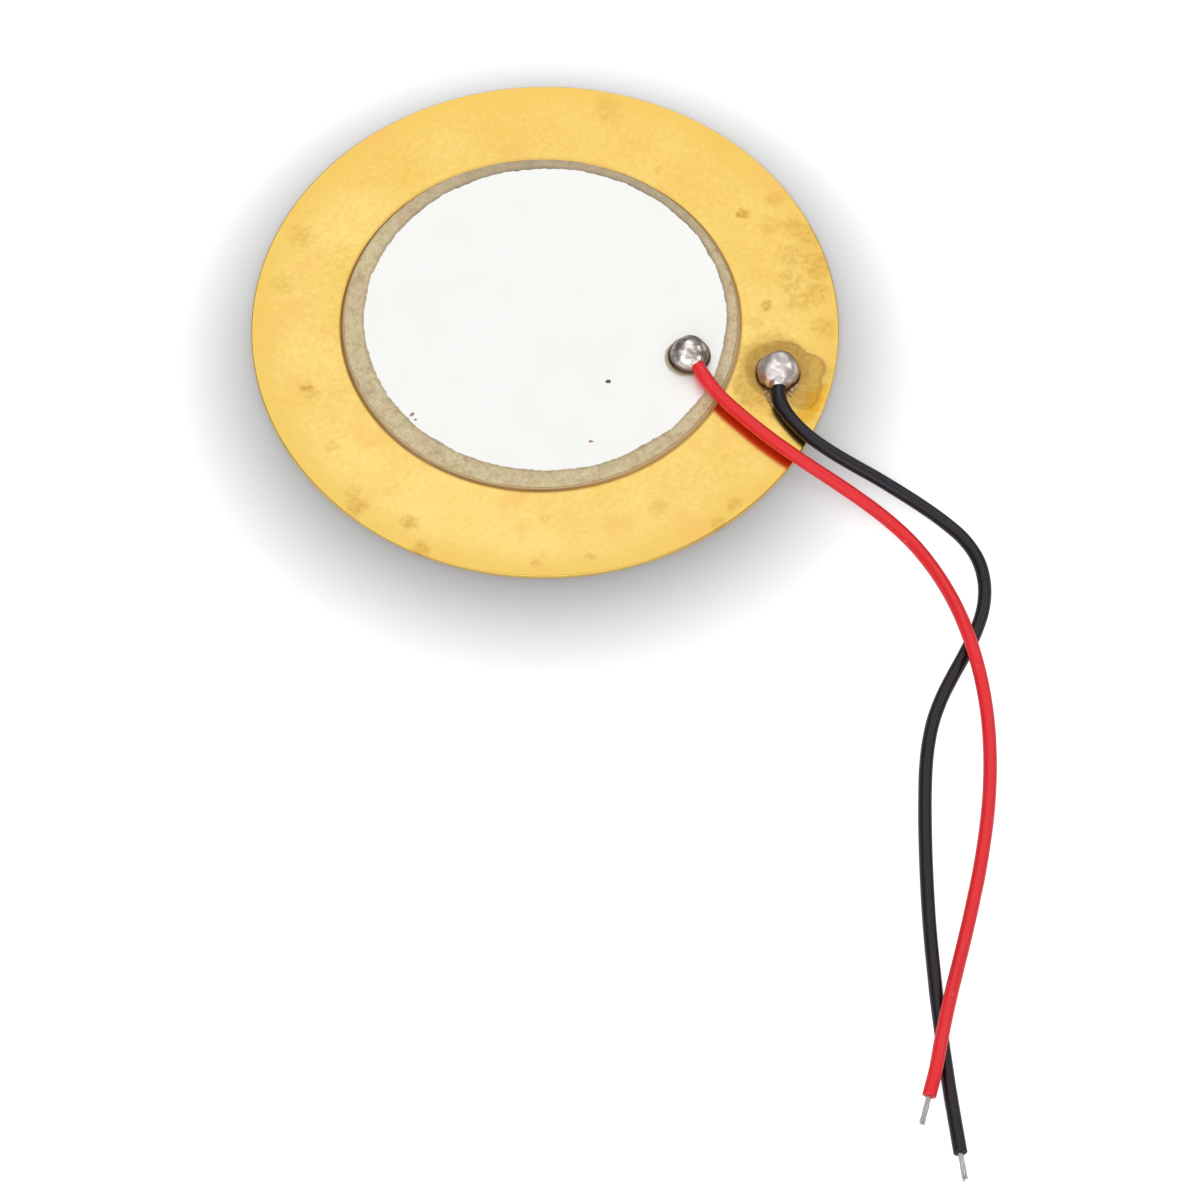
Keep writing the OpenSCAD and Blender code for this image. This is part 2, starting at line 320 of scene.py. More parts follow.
shader = add_node(
    tree, "ShaderNodeBsdfPrincipled",
    {"Base Color": colour, "Roughness": gloss, "Normal": bump, "Metallic": 1.0},
)
add_node(tree, "ShaderNodeOutputMaterial", {"Surface": shader})

plate.data.materials.append(brass)
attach(plate, "root")
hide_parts("brass_plate")


# ---------------------------------------------------------------------------------
# Bond
# Epoxy resin pressed out between the plate and the ceramic until a thin film is left.
# What it squeezes out cures as a low brown bead round the ceramic's edge, wider on the
# side towards which the ceramic slid.
# ---------------------------------------------------------------------------------

FILM = 0.02 * MM           # thickness of the film under the ceramic
BEAD_RISE = 0.09 * MM      # height that the bead climbs up the ceramic
BEAD_GAP = 0.01 * MM       # clearance that the CAD leaves to the ceramic

bond_at, bead_r = measured("bond_film")[:2]
bead_in = ceramic_r + BEAD_GAP


def squeezed(angle):
    """How far the bead's foot spreads, uneven as it cured."""
    lean = 0.05 * math.cos(angle + math.radians(75)) + 0.05 * math.cos(2 * (angle - math.radians(25)))
    uneven = 0.03 * ripple_round(angle, 0.2, 5.0) + 0.015 * ripple_round(angle, 0.03, 6.0)
    return MM * (0.07 + lean + uneven)


rise = FILM + BEAD_RISE
bead = skin("epoxy_bond", [
    circle(bead_r, plate_top, bond_at, squeezed),
    circle(bead_r, plate_top + 0.012 * MM, bond_at, squeezed),
    circle(bead_in + 0.10 * MM, plate_top + 0.45 * rise, bond_at, lambda a: 0.6 * squeezed(a)),
    circle(bead_in + 0.05 * MM, plate_top + 0.80 * rise, bond_at, lambda a: 0.2 * squeezed(a)),
    circle(bead_in + 0.015 * MM, plate_top + rise, bond_at),
    circle(bead_in, plate_top + rise, bond_at),
    circle(bead_in, plate_top + FILM, bond_at),
], sharp=50)

# Cured epoxy: glossy, clear brown, paler towards +X as painted light, and chalky against the
# ceramic with what was lapped off it
resin, tree, place = finish("cured epoxy")
streak = add_node(tree, "ShaderNodeTexNoise", {"Vector": place, "Scale": per_mm(1.5), "Detail": 3})
colour = add_node(tree, "ShaderNodeMix", [streak, paint("#84581A"), paint("#A67A34")], data_type="RGBA")
across = add_node(tree, "ShaderNodeSeparateXYZ", {"Vector": place})
# Painted light: the bead is paler towards +X
colour = tint(tree, colour, "#BC9250", (across, "X"), 0.2 * bead_r, 0.8 * bead_r, 0.75)
off = add_node(
    tree, "ShaderNodeVectorMath", [place, (ceramic_at[0], ceramic_at[1], plate_top)],
    operation="DISTANCE",
)
colour = tint(tree, colour, "#CDB58C", off, bead_in + 0.12 * MM, bead_in + 0.03 * MM)
ripples = add_node(tree, "ShaderNodeBump", {"Height": streak, "Distance": 0.004 * MM})
shader = add_node(
    tree, "ShaderNodeBsdfPrincipled",
    {"Base Color": colour, "Normal": ripples, "Roughness": 0.25, "IOR": 1.55},
)
add_node(tree, "ShaderNodeOutputMaterial", {"Surface": shader})

bead.data.materials.append(resin)
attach(bead, "root")
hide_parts("bond_film")


# ---------------------------------------------------------------------------------
# Ceramic
# Lead zirconate titanate, pressed, sintered and lapped flat. It is a dry, pale stone
# colour with a fine grain, and its brittle edge loses small chips when it is lapped.
# ---------------------------------------------------------------------------------

LAPPED_EDGE = 0.03 * MM    # radius left by lapping
CHIP = 0.09 * MM           # depth of the largest chips


def chips(angle):
    """Chips: the deep troughs of a noise round the edge."""
    trough = max(0.0, ripple_round(angle, 0.045, 9.0) - 0.2)
    return -CHIP * min(1.0, 2.2 * trough) + 0.004 * MM * ripple_round(angle, 0.01, 2.0)


ceramic = skin("sintered_ceramic", [
    circle(ceramic_r - LAPPED_EDGE, ceramic_foot, ceramic_at),
    circle(ceramic_r - 0.3 * LAPPED_EDGE, ceramic_foot + 0.3 * LAPPED_EDGE, ceramic_at),
    circle(ceramic_r, ceramic_foot + LAPPED_EDGE, ceramic_at),
    circle(ceramic_r, ceramic_top - 2.5 * LAPPED_EDGE, ceramic_at, lambda a: 0.3 * chips(a)),
    circle(ceramic_r, ceramic_top - LAPPED_EDGE, ceramic_at, chips),
    circle(ceramic_r - 0.3 * LAPPED_EDGE, ceramic_top - 0.3 * LAPPED_EDGE, ceramic_at, chips),
    circle(ceramic_r - LAPPED_EDGE, ceramic_top, ceramic_at, chips),
    circle(ceramic_r - 0.12 * MM, ceramic_top, ceramic_at),
    circle(ceramic_r - 1.5 * MM, ceramic_top, ceramic_at),
    circle(ceramic_r - 6 * MM, ceramic_top, ceramic_at),
])

silver_at, silver_r, silver_foot, silver_top = measured("upper_electrode")

# Lapped PZT: matt, stone coloured, with dark and light grains and smears. A darker line
# follows the print's edge, stronger on the far side.
pzt, tree, place = finish("lapped piezo ceramic")
patch = add_node(
    tree, "ShaderNodeTexNoise", {"Vector": place, "Scale": per_mm(1.2), "Detail": 4, "Roughness": 0.6},
)
patch = add_node(tree, "ShaderNodeMapRange", {"Value": patch, "From Min": 0.35, "From Max": 0.65})
colour = add_node(tree, "ShaderNodeMix", [patch, paint("#D9CC9A"), paint("#D6BA95")], data_type="RGBA")
smears = add_node(
    tree, "ShaderNodeTexNoise", {"Vector": place, "Scale": per_mm(0.6), "Detail": 4, "Roughness": 0.65},
)
colour = tint(tree, colour, "#E2D6B4", smears, 0.50, 0.66, 0.7, "LINEAR")
colour = tint(tree, colour, "#A89274", smears, 0.50, 0.34, 0.6, "LINEAR")
grains = add_node(
    tree, "ShaderNodeTexNoise",
    {"Vector": place, "Scale": per_mm(0.16), "Detail": 3, "Roughness": 0.75},
)
colour = tint(tree, colour, "#A8946C", grains, 0.45, 0.75, 0.7, "LINEAR")
print_edge_line = edge_mask(
    tree, place, silver_at, silver_foot, silver_r + 0.26 * MM, silver_r - 0.02 * MM,
    (0.0, 0.45), (silver_r, 1.0),
)
colour = add_node(tree, "ShaderNodeMix", [print_edge_line, colour, paint("#8C7A63")], data_type="RGBA")
across = add_node(tree, "ShaderNodeSeparateXYZ", {"Vector": place})
# Painted shade: the ceramic darkens towards the far side of the print
colour = tint(
    tree, colour, "#9C8A72", (across, "Y"), silver_at[1] + 0.3 * silver_r, silver_at[1] + silver_r, 0.5,
)
grit = add_node(tree, "ShaderNodeBump", {"Height": grains, "Distance": 0.004 * MM})
shader = add_node(
    tree, "ShaderNodeBsdfPrincipled",
    {"Base Color": colour, "Normal": grit, "Roughness": 0.6, "IOR": 1.6},
)
add_node(tree, "ShaderNodeOutputMaterial", {"Surface": shader})

ceramic.data.materials.append(pzt)
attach(ceramic, "root")
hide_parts("ceramic_disc")


# ---------------------------------------------------------------------------------
# Silver electrodes
# Silver paste squeegeed through a mesh screen on both faces of the ceramic and fired.
# It dries near white and matt, keeps a trace of the screen, and its edge is ragged
# where the paste ran between the threads. The lower one lies hidden in the bond.
# ---------------------------------------------------------------------------------

THREAD = 0.09              # pitch of the screen's threads, in mm
WAVE_BANDS = 20            # bands that a wave pattern puts in one unit of its scale
RAGGED = 0.06 * MM         # how far the printed edge strays at the threads
DRIFT = 0.10 * MM          # how far it strays over longer stretches

# Fired silver paste: near white, between matt and satin, with a faint weave from the screen
silver, tree, place = finish("fired silver paste")
weave = add_node(tree, "ShaderNodeMapping", {"Vector": place, "Rotation": (0, 0, math.radians(22))})
threads, wefts = [
    add_node(
        tree, "ShaderNodeTexWave",
        {"Vector": weave, "Scale": per_mm(THREAD) / WAVE_BANDS, "Distortion": 0.6}, bands_direction=axis,
    )
    for axis in "XY"
]
mesh_marks = add_node(tree, "ShaderNodeMath", [(threads, "Fac"), (wefts, "Fac")], operation="ADD")
cloud = add_node(tree, "ShaderNodeTexNoise", {"Vector": place, "Scale": per_mm(3), "Detail": 3})
colour = add_node(tree, "ShaderNodeMix", [cloud, paint("#FDFDFB"), paint("#FBFBF8")], data_type="RGBA")
rub = add_node(tree, "ShaderNodeMapRange", {"Value": cloud, "To Min": 0.48, "To Max": 0.54})
print_marks = add_node(
    tree, "ShaderNodeBump", {"Height": mesh_marks, "Strength": 0.6, "Distance": 0.001 * MM},
)
shader = add_node(
    tree, "ShaderNodeBsdfPrincipled",
    {"Base Color": colour, "Roughness": rub, "Normal": print_marks, "Metallic": 0.55},
)
add_node(tree, "ShaderNodeOutputMaterial", {"Surface": shader})

lower_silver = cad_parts["lower_electrode"]
for slot in lower_silver.material_slots:
    slot.material = silver


def new_rule(name, sizes):
    """A geometry node tree with an input for each named size, and the node they come from."""
    rule = bpy.data.node_groups.new(name, "GeometryNodeTree")
    rule.interface.new_socket(name="Geometry", in_out="OUTPUT", socket_type="NodeSocketGeometry")
    for size, (kind, value) in sizes.items():
        entry = rule.interface.new_socket(name=size, in_out="INPUT", socket_type="NodeSocket" + kind)
        if value is not None:
            entry.default_value = value
    return rule, add_node(rule, "NodeGroupInput")


def grown(name, rule, sizes=(), base=None):
    """Runs a geometry node tree on an object, and keeps the result as a plain mesh."""
    base = base or bpy.data.objects.new(name, bpy.data.meshes.new(name))
    bpy.context.scene.collection.objects.link(base)
    modifier = base.modifiers.new(rule.name, "NODES")
    modifier.node_group = rule
    for size, value in dict(sizes).items():
        modifier[rule.interface.items_tree[size].identifier] = value
    seen = base.evaluated_get(bpy.context.evaluated_depsgraph_get())
    mesh = bpy.data.meshes.new_from_object(seen)
    base.modifiers.clear()
    base.data = mesh
    return base


# The print: a filled ring whose points stray in and out, drawn up to its thickness
rule, sizes = new_rule("printed silver", {
    "Radius": ("Float", silver_r), "Thickness": ("Float", silver_top - silver_foot),
    "Ragged": ("Float", RAGGED), "Drift": ("Float", DRIFT), "Seed": ("Float", 4.0),
})
print_ring = add_node(
    rule, "GeometryNodeMeshCircle", {"Radius": (sizes, "Radius"), "Vertices": 1800}, fill_type="NGON",
)
at = add_node(rule, "GeometryNodeInputPosition")
stray = None
for pitch, amount in ((0.4, "Ragged"), (2.2, "Drift")):
    waves = add_node(
        rule, "ShaderNodeTexNoise",
        {"Vector": at, "W": (sizes, "Seed"), "Scale": per_mm(pitch), "Detail": 4, "Roughness": 0.7},
        noise_dimensions="4D",
    )
    waves = add_node(
        rule, "ShaderNodeMapRange",
        {"Value": waves, "From Min": 0.25, "From Max": 0.75, "To Min": -1.1, "To Max": 0.9},
    )
    waves = add_node(rule, "ShaderNodeMath", [waves, (sizes, amount)], operation="MULTIPLY")
    stray = waves if stray is None else add_node(rule, "ShaderNodeMath", [stray, waves], operation="ADD")
outward = add_node(rule, "ShaderNodeVectorMath", [at], operation="NORMALIZE")
outward = add_node(rule, "ShaderNodeVectorMath", [outward, stray], operation="SCALE")
strayed = add_node(rule, "GeometryNodeSetPosition", {"Geometry": print_ring, "Offset": outward})
up = add_node(rule, "ShaderNodeCombineXYZ", {"Z": (sizes, "Thickness")})
drawn_up = add_node(
    rule, "GeometryNodeExtrudeMesh", {"Mesh": strayed, "Offset": up, "Individual": False}, mode="FACES",
)
below = add_node(rule, "GeometryNodeFlipFaces", {"Mesh": strayed})
solid = add_node(rule, "GeometryNodeJoinGeometry", {"Geometry": drawn_up})
rule.links.new(below.outputs[0], solid.inputs[0])
solid = add_node(rule, "GeometryNodeMergeByDistance", {"Geometry": solid, "Distance": 1e-7})
solid = add_node(rule, "GeometryNodeRealizeInstances", {"Geometry": solid})
solid = add_node(rule, "GeometryNodeSetMaterial", {"Geometry": solid, "Material": silver})
add_node(rule, "NodeGroupOutput", {"Geometry": solid})

upper_silver = grown("printed_silver", rule)
upper_silver.data.transform(Matrix.Translation((silver_at[0], silver_at[1], silver_foot)))
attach(upper_silver, "root")
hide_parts("upper_electrode")


# ---------------------------------------------------------------------------------
# Solder joints
# A bead of tin-lead solder on the silver and one on the brass, each melted round the
# tinned end of its lead. Surface tension draws it into a ball that leans up round the
# lead, and it freezes with soft dents and a few flats.
# ---------------------------------------------------------------------------------

DOME_ROUND, DOME_RINGS = 160, 72
SIGNAL_BALL, GROUND_BALL = 2.5 * MM, 2.7 * MM
LEAD_R = 0.4 * MM          # radius of a lead's insulation
LEAD_RISE = 0.5 * MM       # height of a lead's axis above the face its joint wets
COLLAR = 0.14 * MM         # solder that climbs round the cut end
GIRTH = 0.1 * MM           # height of a ball's girth above its face
POCKET_GAP = 0.015 * MM    # clearance round the insulation where it enters the solder
DENTS, FINE_DENTS = 0.03, 0.008    # depths of the dents, as shares of a ball's radius
FLAT_SOFT, COLLAR_SOFT = 0.04, 0.06    # softness of the edges of flats and collar, likewise
DENT_SCALE, FINE_DENT_SCALE = 1.9, 4.5    # scales of the noises that place the dents


def blend_low(a, b, soft):
    """The lower of two sizes, with a soft change from one to the other."""
    h = max(0.0, min(1.0, 0.5 + 0.5 * (b - a) / soft))
    return b + (a - b) * h - soft * h * (1 - h)


def blend_high(a, b, soft):
    """The higher of two sizes, with a soft change from one to the other."""
    return -blend_low(-a, -b, soft)


def heading(angle):
    """Level unit vector that points along an angle from +X."""
    return Vector((math.cos(angle), math.sin(angle), 0))


def hoop(centre, side, up, radius, count):
    """Ring of points round a centre, in the plane of two unit vectors."""
    return [centre + side * radius * math.cos(turn) + up * radius * math.sin(turn) for turn in turns(count)]


def solder_ball(name, foot, diameter, exit_angle, lead_reach, flats, seed):
    """Ball of solder on a face, dented and flattened, collared and pocketed for its lead.
    Each flat gives the direction it faces, and its distance as a share of the radius."""
    size = diameter / 2
    centre = Vector(foot) + Vector((0, 0, GIRTH))
    up, way = Vector((0, 0, 1)), heading(exit_angle)
    collar_at = way * lead_reach + Vector((0, 0, LEAD_RISE - GIRTH))
    collar_r = LEAD_R + COLLAR
    lowest = math.acos(-GIRTH / size)
    rings = []
    for i in range(DOME_RINGS + 1):
        tilt = lowest * max(i, 0.2) / DOME_RINGS
        ring = []
        for turn in turns(DOME_ROUND):
            ray = math.sin(tilt) * heading(turn) + math.cos(tilt) * up
            dents = 0.5 + 0.5 * noise.noise(ray * DENT_SCALE + Vector((seed, 0, 0)))
            fine = 0.5 + 0.5 * noise.noise(ray * FINE_DENT_SCALE + Vector((0, seed, 0)))
            reach = size * (1 - DENTS * dents - FINE_DENTS * fine)
            for nx, ny, nz, share in flats:
                facing = ray.dot(Vector((nx, ny, nz)).normalized())
                if facing > 0.3:
                    reach = blend_low(reach, share * size / facing, FLAT_SOFT * size)
            along = ray.dot(collar_at)
            inside = along ** 2 - collar_at.length_squared + collar_r ** 2
            if inside > 0:
                reach = blend_high(reach, along + math.sqrt(inside), COLLAR_SOFT * size)
            point = centre + ray * reach
            point.z = max(point.z, foot[2]) if i < DOME_RINGS else foot[2]
            ring.append(point)
        rings.append(ring)
    ball = skin(name, rings, sharp=60)
    cut_end = Vector(foot) + way * lead_reach + LEAD_RISE * up
    bore = skin(name + "_bore", [
        hoop(cut_end + way * far, way.cross(up), up, LEAD_R + POCKET_GAP, 48) for far in (0, diameter)
    ])
    cut = ball.modifiers.new("pocket", "BOOLEAN")
    cut.operation, cut.solver, cut.object = "DIFFERENCE", "EXACT", bore
    ball.data = bpy.data.meshes.new_from_object(ball.evaluated_get(bpy.context.evaluated_depsgraph_get()))
    ball.modifiers.clear()
    bpy.data.objects.remove(bore)
    return ball


signal_foot = (8.9 * MM, -0.05 * MM, silver_top)
ground_foot = (14.225 * MM, 0.3 * MM, plate_top)
RED_EXIT, BLACK_EXIT = math.radians(-49), math.radians(-74)
RED_REACH, BLACK_REACH = 0.75 * MM, 1.0 * MM   # from a joint's centre to the cut end

signal_ball = solder_ball(
    "signal_solder", signal_foot, SIGNAL_BALL, RED_EXIT, RED_REACH,
    [
        (-0.61, 0.64, 0.47, 0.93), (0.53, 0.77, 0.37, 0.93), (0.3, -0.75, 0.7, 0.955),
        (0.75, 0.2, 0.75, 0.965),
    ],
    seed=1.7,
)
ground_ball = solder_ball(
    "ground_solder", ground_foot, GROUND_BALL, BLACK_EXIT, BLACK_REACH,
    [
        (-0.64, 0.62, 0.46, 0.87), (0.76, 0.61, 0.24, 0.91), (0.06, 0.27, 0.96, 0.905),
        (0.1, -0.6, 0.75, 0.955), (-0.8, -0.3, 0.6, 0.95),
    ],
    seed=8.3,
)


def frozen_solder(name, foot, flux_and_shade_top, pale, grey, shiny, dull):
    """Tin-lead solder: bright where it froze first, and brown low on its flanks, partly clinging flux and
    partly painted shade round its foot.
    """
    material, tree, place = finish(name)
    patches = add_node(
        tree, "ShaderNodeTexNoise",
        {"Vector": place, "Scale": per_mm(0.6), "Detail": 4, "Roughness": 0.6},
    )
    frozen = add_node(
        tree, "ShaderNodeMapRange", {"Value": patches, "From Min": 0.42, "From Max": 0.60},
    )
    colour = add_node(tree, "ShaderNodeMix", [frozen, paint(pale), paint(grey)], data_type="RGBA")
    up = add_node(tree, "ShaderNodeSeparateXYZ", {"Vector": place})
    ragged_up = add_node(tree, "ShaderNodeMath", [patches, 0.9 * MM, (up, "Z")], operation="MULTIPLY_ADD")
    # Brown low on the ball: partly rosin film, partly painted shade round the foot and by the lead
    flux_and_shade_at = foot[2] + flux_and_shade_top
    colour = tint(tree, colour, "#5C3F36", ragged_up, flux_and_shade_at + 0.55 * MM, flux_and_shade_at + 0.25 * MM, 0.9)
    gloss = add_node(tree, "ShaderNodeMapRange", {"Value": frozen, "To Min": shiny, "To Max": dull})
    crystals = add_node(
        tree, "ShaderNodeTexNoise", {"Vector": place, "Scale": per_mm(0.25), "Detail": 2},
    )
    skin_marks = add_node(tree, "ShaderNodeBump", {"Height": crystals, "Distance": 0.012 * MM})
    shader = add_node(
        tree, "ShaderNodeBsdfPrincipled",
        {
            "Base Color": colour, "Roughness": gloss, "Normal": skin_marks, "Metallic": 1.0,
            "Specular Tint": paint("#2E1E14"), "Coat Weight": 0.15, "Coat Roughness": 0.08,
        },
    )
    add_node(tree, "ShaderNodeOutputMaterial", {"Surface": shader})
    return material


# The signal joint froze bright. The plate drew the heat from the ground joint, and it froze duller.
signal_tin = frozen_solder("bright tin solder", signal_foot, 0.52 * MM, "#F0E8E3", "#A0938C", 0.20, 0.36)
ground_tin = frozen_solder("dull tin solder", ground_foot, 0.38 * MM, "#F8F1ED", "#D0C5C3", 0.30, 0.45)
for ball, node, tin in (
    (signal_ball, "signal_joint", signal_tin),
    (ground_ball, "ground_joint", ground_tin),
):
    ball.data.materials.append(tin)
    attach(ball, "root")
    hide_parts(node)


# ---------------------------------------------------------------------------------
# Rosin
# Flux from the solder's core that boiled out, spread over the hot face and dried as a
# thin clear varnish. It stands a little way up the solder and thins out to its edge.
# ---------------------------------------------------------------------------------

ROSIN_RINGS = 34
ROSIN_BODY = 0.025 * MM    # thickness of the film
ROSIN_CLIMB = 0.10 * MM    # how high the rosin stands against the solder
CLIMB_WIDTH = 0.04 * MM    # how far out from the solder that dies away
RIDGE_IN, RIDGE_WIDTH = 0.2 * MM, 0.14 * MM    # a ridge's distance in from the edge, its width
ROSIN_LIFT = 0.001 * MM    # keeps the underside of the film off the face below


def rosin_pool(name, foot, inner_r, reach_at, ridge_at):
    """Film of rosin round a joint, out to a reach that depends on the direction."""
    rows = []
    for i in range(ROSIN_RINGS + 1):
        share = i / ROSIN_RINGS
        row = []
        for turn in turns(ROUND):
            reach = reach_at(turn)
            out = share * max(0.06 * MM, reach - inner_r)
            r = inner_r + out
            x, y = foot[0] + r * math.cos(turn), foot[1] + r * math.sin(turn)
            swell = 1 + 0.35 * ripple(x, y, 0.5 * MM, 4.0)
            rise = ROSIN_CLIMB * math.exp(-out / CLIMB_WIDTH) + ROSIN_BODY * swell * (1 - share ** 4)
            rise += ridge_at(turn) * math.exp(-((reach - r - RIDGE_IN) / RIDGE_WIDTH) ** 2)
            row.append((x, y, foot[2] + ROSIN_LIFT + rise * (1 - share ** 12)))
        rows.append(row)
    under = [[(x, y, foot[2] + 0.5 * ROSIN_LIFT) for x, y, z in row] for row in (rows[-2], rows[0])]
    pool = skin(name, rows + under, loop=True)
    depth = pool.data.attributes.new("rosin_depth", "FLOAT", "POINT")
    for i, vertex in enumerate(pool.data.vertices):
        depth.data[i].value = min(1.0, (vertex.co.z - foot[2]) / (1.6 * ROSIN_BODY))
    return pool


def past(turn, centre, radius):
    """Distance from a joint's centre to the far side of a round patch, that way."""
    along = heading(turn).xy.dot(Vector(centre))
    inside = along ** 2 - Vector(centre).length_squared + radius ** 2
    return max(0.0, along + math.sqrt(inside)) if inside > 0 else 0.0


def signal_reach(turn):
    """How far the rosin on the silver reaches: one round patch."""
    edge = past(turn, (-0.15, -0.15), 1.35) * MM
    return edge + 0.03 * MM * ripple_round(turn, 0.25, 7.0)


def ground_reach(turn):
    """How far the rosin on the brass reaches: four patches run together, short of the rim."""
    edge = blend_high(past(turn, (0, 0.3), 2.25), past(turn, (1.75, 0.9), 1.1), 0.3)
    edge = blend_high(edge, past(turn, (1.9, -0.5), 1.1), 0.5)
    edge = blend_high(edge, past(turn, (2.0, -1.4), 0.9), 0.5) * MM
    edge += 0.06 * MM * (ripple_round(turn, 0.5, 2.0) - 1.0)
    rim_way = past(turn, (-ground_foot[0], -ground_foot[1]), plate_r - 0.1 * MM)
    return blend_low(edge, rim_way - 0.03 * MM, 0.1 * MM)


def ground_ridge(turn):
    """Thicker line left along the edge of the film, on the side towards the rim."""
    return 0.03 * MM * max(0.0, math.cos(turn - math.radians(22))) ** 0.6


signal_rosin = rosin_pool("signal_rosin", signal_foot, 1.21 * MM, signal_reach, lambda turn: 0.0)
ground_rosin = rosin_pool("ground_rosin", ground_foot, 1.31 * MM, ground_reach, ground_ridge)

# Dried rosin: clear and glassy, so thin at its edge that the face shows through, and
# deeper brown where it is thick against the solder
for pool, node, face, thin, thick, most in (
    (signal_rosin, "signal_flux", "silver", "#C9B78F", "#6A5546", 0.9),
    (ground_rosin, "ground_flux", "brass", "#BE9038", "#7A5230", 0.28),
):
    rosin, tree, place = finish("dried rosin on the " + face)
    depth = (add_node(tree, "ShaderNodeAttribute", attribute_name="rosin_depth"), "Fac")
    haze = add_node(tree, "ShaderNodeTexNoise", {"Vector": place, "Scale": per_mm(0.4), "Detail": 4})
    pile = add_node(tree, "ShaderNodeMapRange", {"Value": depth, "From Min": 0.7, "From Max": 1.0})
    colour = add_node(tree, "ShaderNodeMix", [pile, paint(thin), paint(thick)], data_type="RGBA")
    cover = add_node(tree, "ShaderNodeMath", [haze, 0.3, -0.15], operation="MULTIPLY_ADD")
    cover = add_node(tree, "ShaderNodeMath", [cover, depth], operation="ADD")
    cover = add_node(
        tree, "ShaderNodeMapRange",
        {"Value": cover, "From Min": 0.05, "From Max": 0.75, "To Max": most},
        interpolation_type="SMOOTHSTEP",
    )
    waves = add_node(tree, "ShaderNodeBump", {"Height": haze, "Distance": 0.01 * MM})
    shader = add_node(
        tree, "ShaderNodeBsdfPrincipled",
        {"Base Color": colour, "Alpha": cover, "Normal": waves, "Roughness": 0.22, "IOR": 1.54},
    )
    add_node(tree, "ShaderNodeOutputMaterial", {"Surface": shader})
    pool.data.materials.append(rosin)
    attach(pool, "root")
    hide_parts(node)


# ---------------------------------------------------------------------------------
# Spatter
# Rosin that spat from the hot joints: pale crumbs caught beside the black lead, and a
# few brown drops that dried on the silver.
# ---------------------------------------------------------------------------------

# Crumbs of rosin: pale amber to brown, with a soft shine
crumb_stuff, tree, place = finish("crumbs of rosin")
tone = add_node(tree, "ShaderNodeTexNoise", {"Vector": place, "Scale": per_mm(0.15), "Detail": 2})
tone = add_node(tree, "ShaderNodeMapRange", {"Value": tone, "From Min": 0.4, "From Max": 0.6})
colour = add_node(tree, "ShaderNodeMix", [tone, paint("#D9BF96"), paint("#A98A5E")], data_type="RGBA")
shader = add_node(
    tree, "ShaderNodeBsdfPrincipled", {"Base Color": colour, "Roughness": 0.4, "IOR": 1.54},
)
add_node(tree, "ShaderNodeOutputMaterial", {"Surface": shader})

# Crumbs strewn along a line, each a small lump of its own size and turn
rule, sizes = new_rule("crumbs", {
    "Line": ("Geometry", None), "Count": ("Int", 12), "Scatter": ("Float", 0.12 * MM),
    "Smallest": ("Float", 0.03 * MM), "Largest": ("Float", 0.08 * MM), "Seed": ("Int", 5),
})
trail = add_node(rule, "GeometryNodeMeshToCurve", {"Mesh": (sizes, "Line")})
trail = add_node(rule, "GeometryNodeResampleCurve", {"Curve": trail, "Count": (sizes, "Count")})
least = add_node(rule, "ShaderNodeMath", [(sizes, "Scatter"), -1.0], operation="MULTIPLY")
stray_low = add_node(rule, "ShaderNodeCombineXYZ", {"X": least, "Y": least})
stray_high = add_node(rule, "ShaderNodeCombineXYZ", {"X": (sizes, "Scatter"), "Y": (sizes, "Scatter")})
strewn = add_node(
    rule, "FunctionNodeRandomValue", {"Min": stray_low, "Max": stray_high, "Seed": (sizes, "Seed")},
    data_type="FLOAT_VECTOR",
)
trail = add_node(rule, "GeometryNodeSetPosition", {"Geometry": trail, "Offset": strewn})
lump = add_node(rule, "GeometryNodeMeshIcoSphere", {"Radius": 1.0, "Subdivisions": 3})
girth = add_node(
    rule, "FunctionNodeRandomValue",
    {"Min": (sizes, "Smallest"), "Max": (sizes, "Largest"), "Seed": (sizes, "Seed")}, data_type="FLOAT",
)
squat = add_node(rule, "ShaderNodeMath", [girth, 0.55], operation="MULTIPLY")
lump_size = add_node(rule, "ShaderNodeCombineXYZ", {"X": girth, "Y": girth, "Z": squat})
turned = add_node(
    rule, "FunctionNodeRandomValue", {"Max": (0, 0, 6.3), "Seed": (sizes, "Seed")},
    data_type="FLOAT_VECTOR",
)
crumbs = add_node(
    rule, "GeometryNodeInstanceOnPoints",
    {"Points": trail, "Instance": lump, "Scale": lump_size, "Rotation": turned},
)
crumbs = add_node(rule, "GeometryNodeRealizeInstances", {"Geometry": crumbs})
at = add_node(rule, "GeometryNodeInputPosition")
dent = add_node(rule, "ShaderNodeTexNoise", {"Vector": at, "Scale": per_mm(0.06), "Detail": 1})
dent = add_node(rule, "ShaderNodeVectorMath", [(dent, "Color"), (0.5, 0.5, 0.5)], operation="SUBTRACT")
dent = add_node(rule, "ShaderNodeVectorMath", [dent, 0.05 * MM], operation="SCALE")
crumbs = add_node(rule, "GeometryNodeSetPosition", {"Geometry": crumbs, "Offset": dent})
crumbs = add_node(rule, "GeometryNodeSetMaterial", {"Geometry": crumbs, "Material": crumb_stuff})
add_node(rule, "NodeGroupOutput", {"Geometry": crumbs})

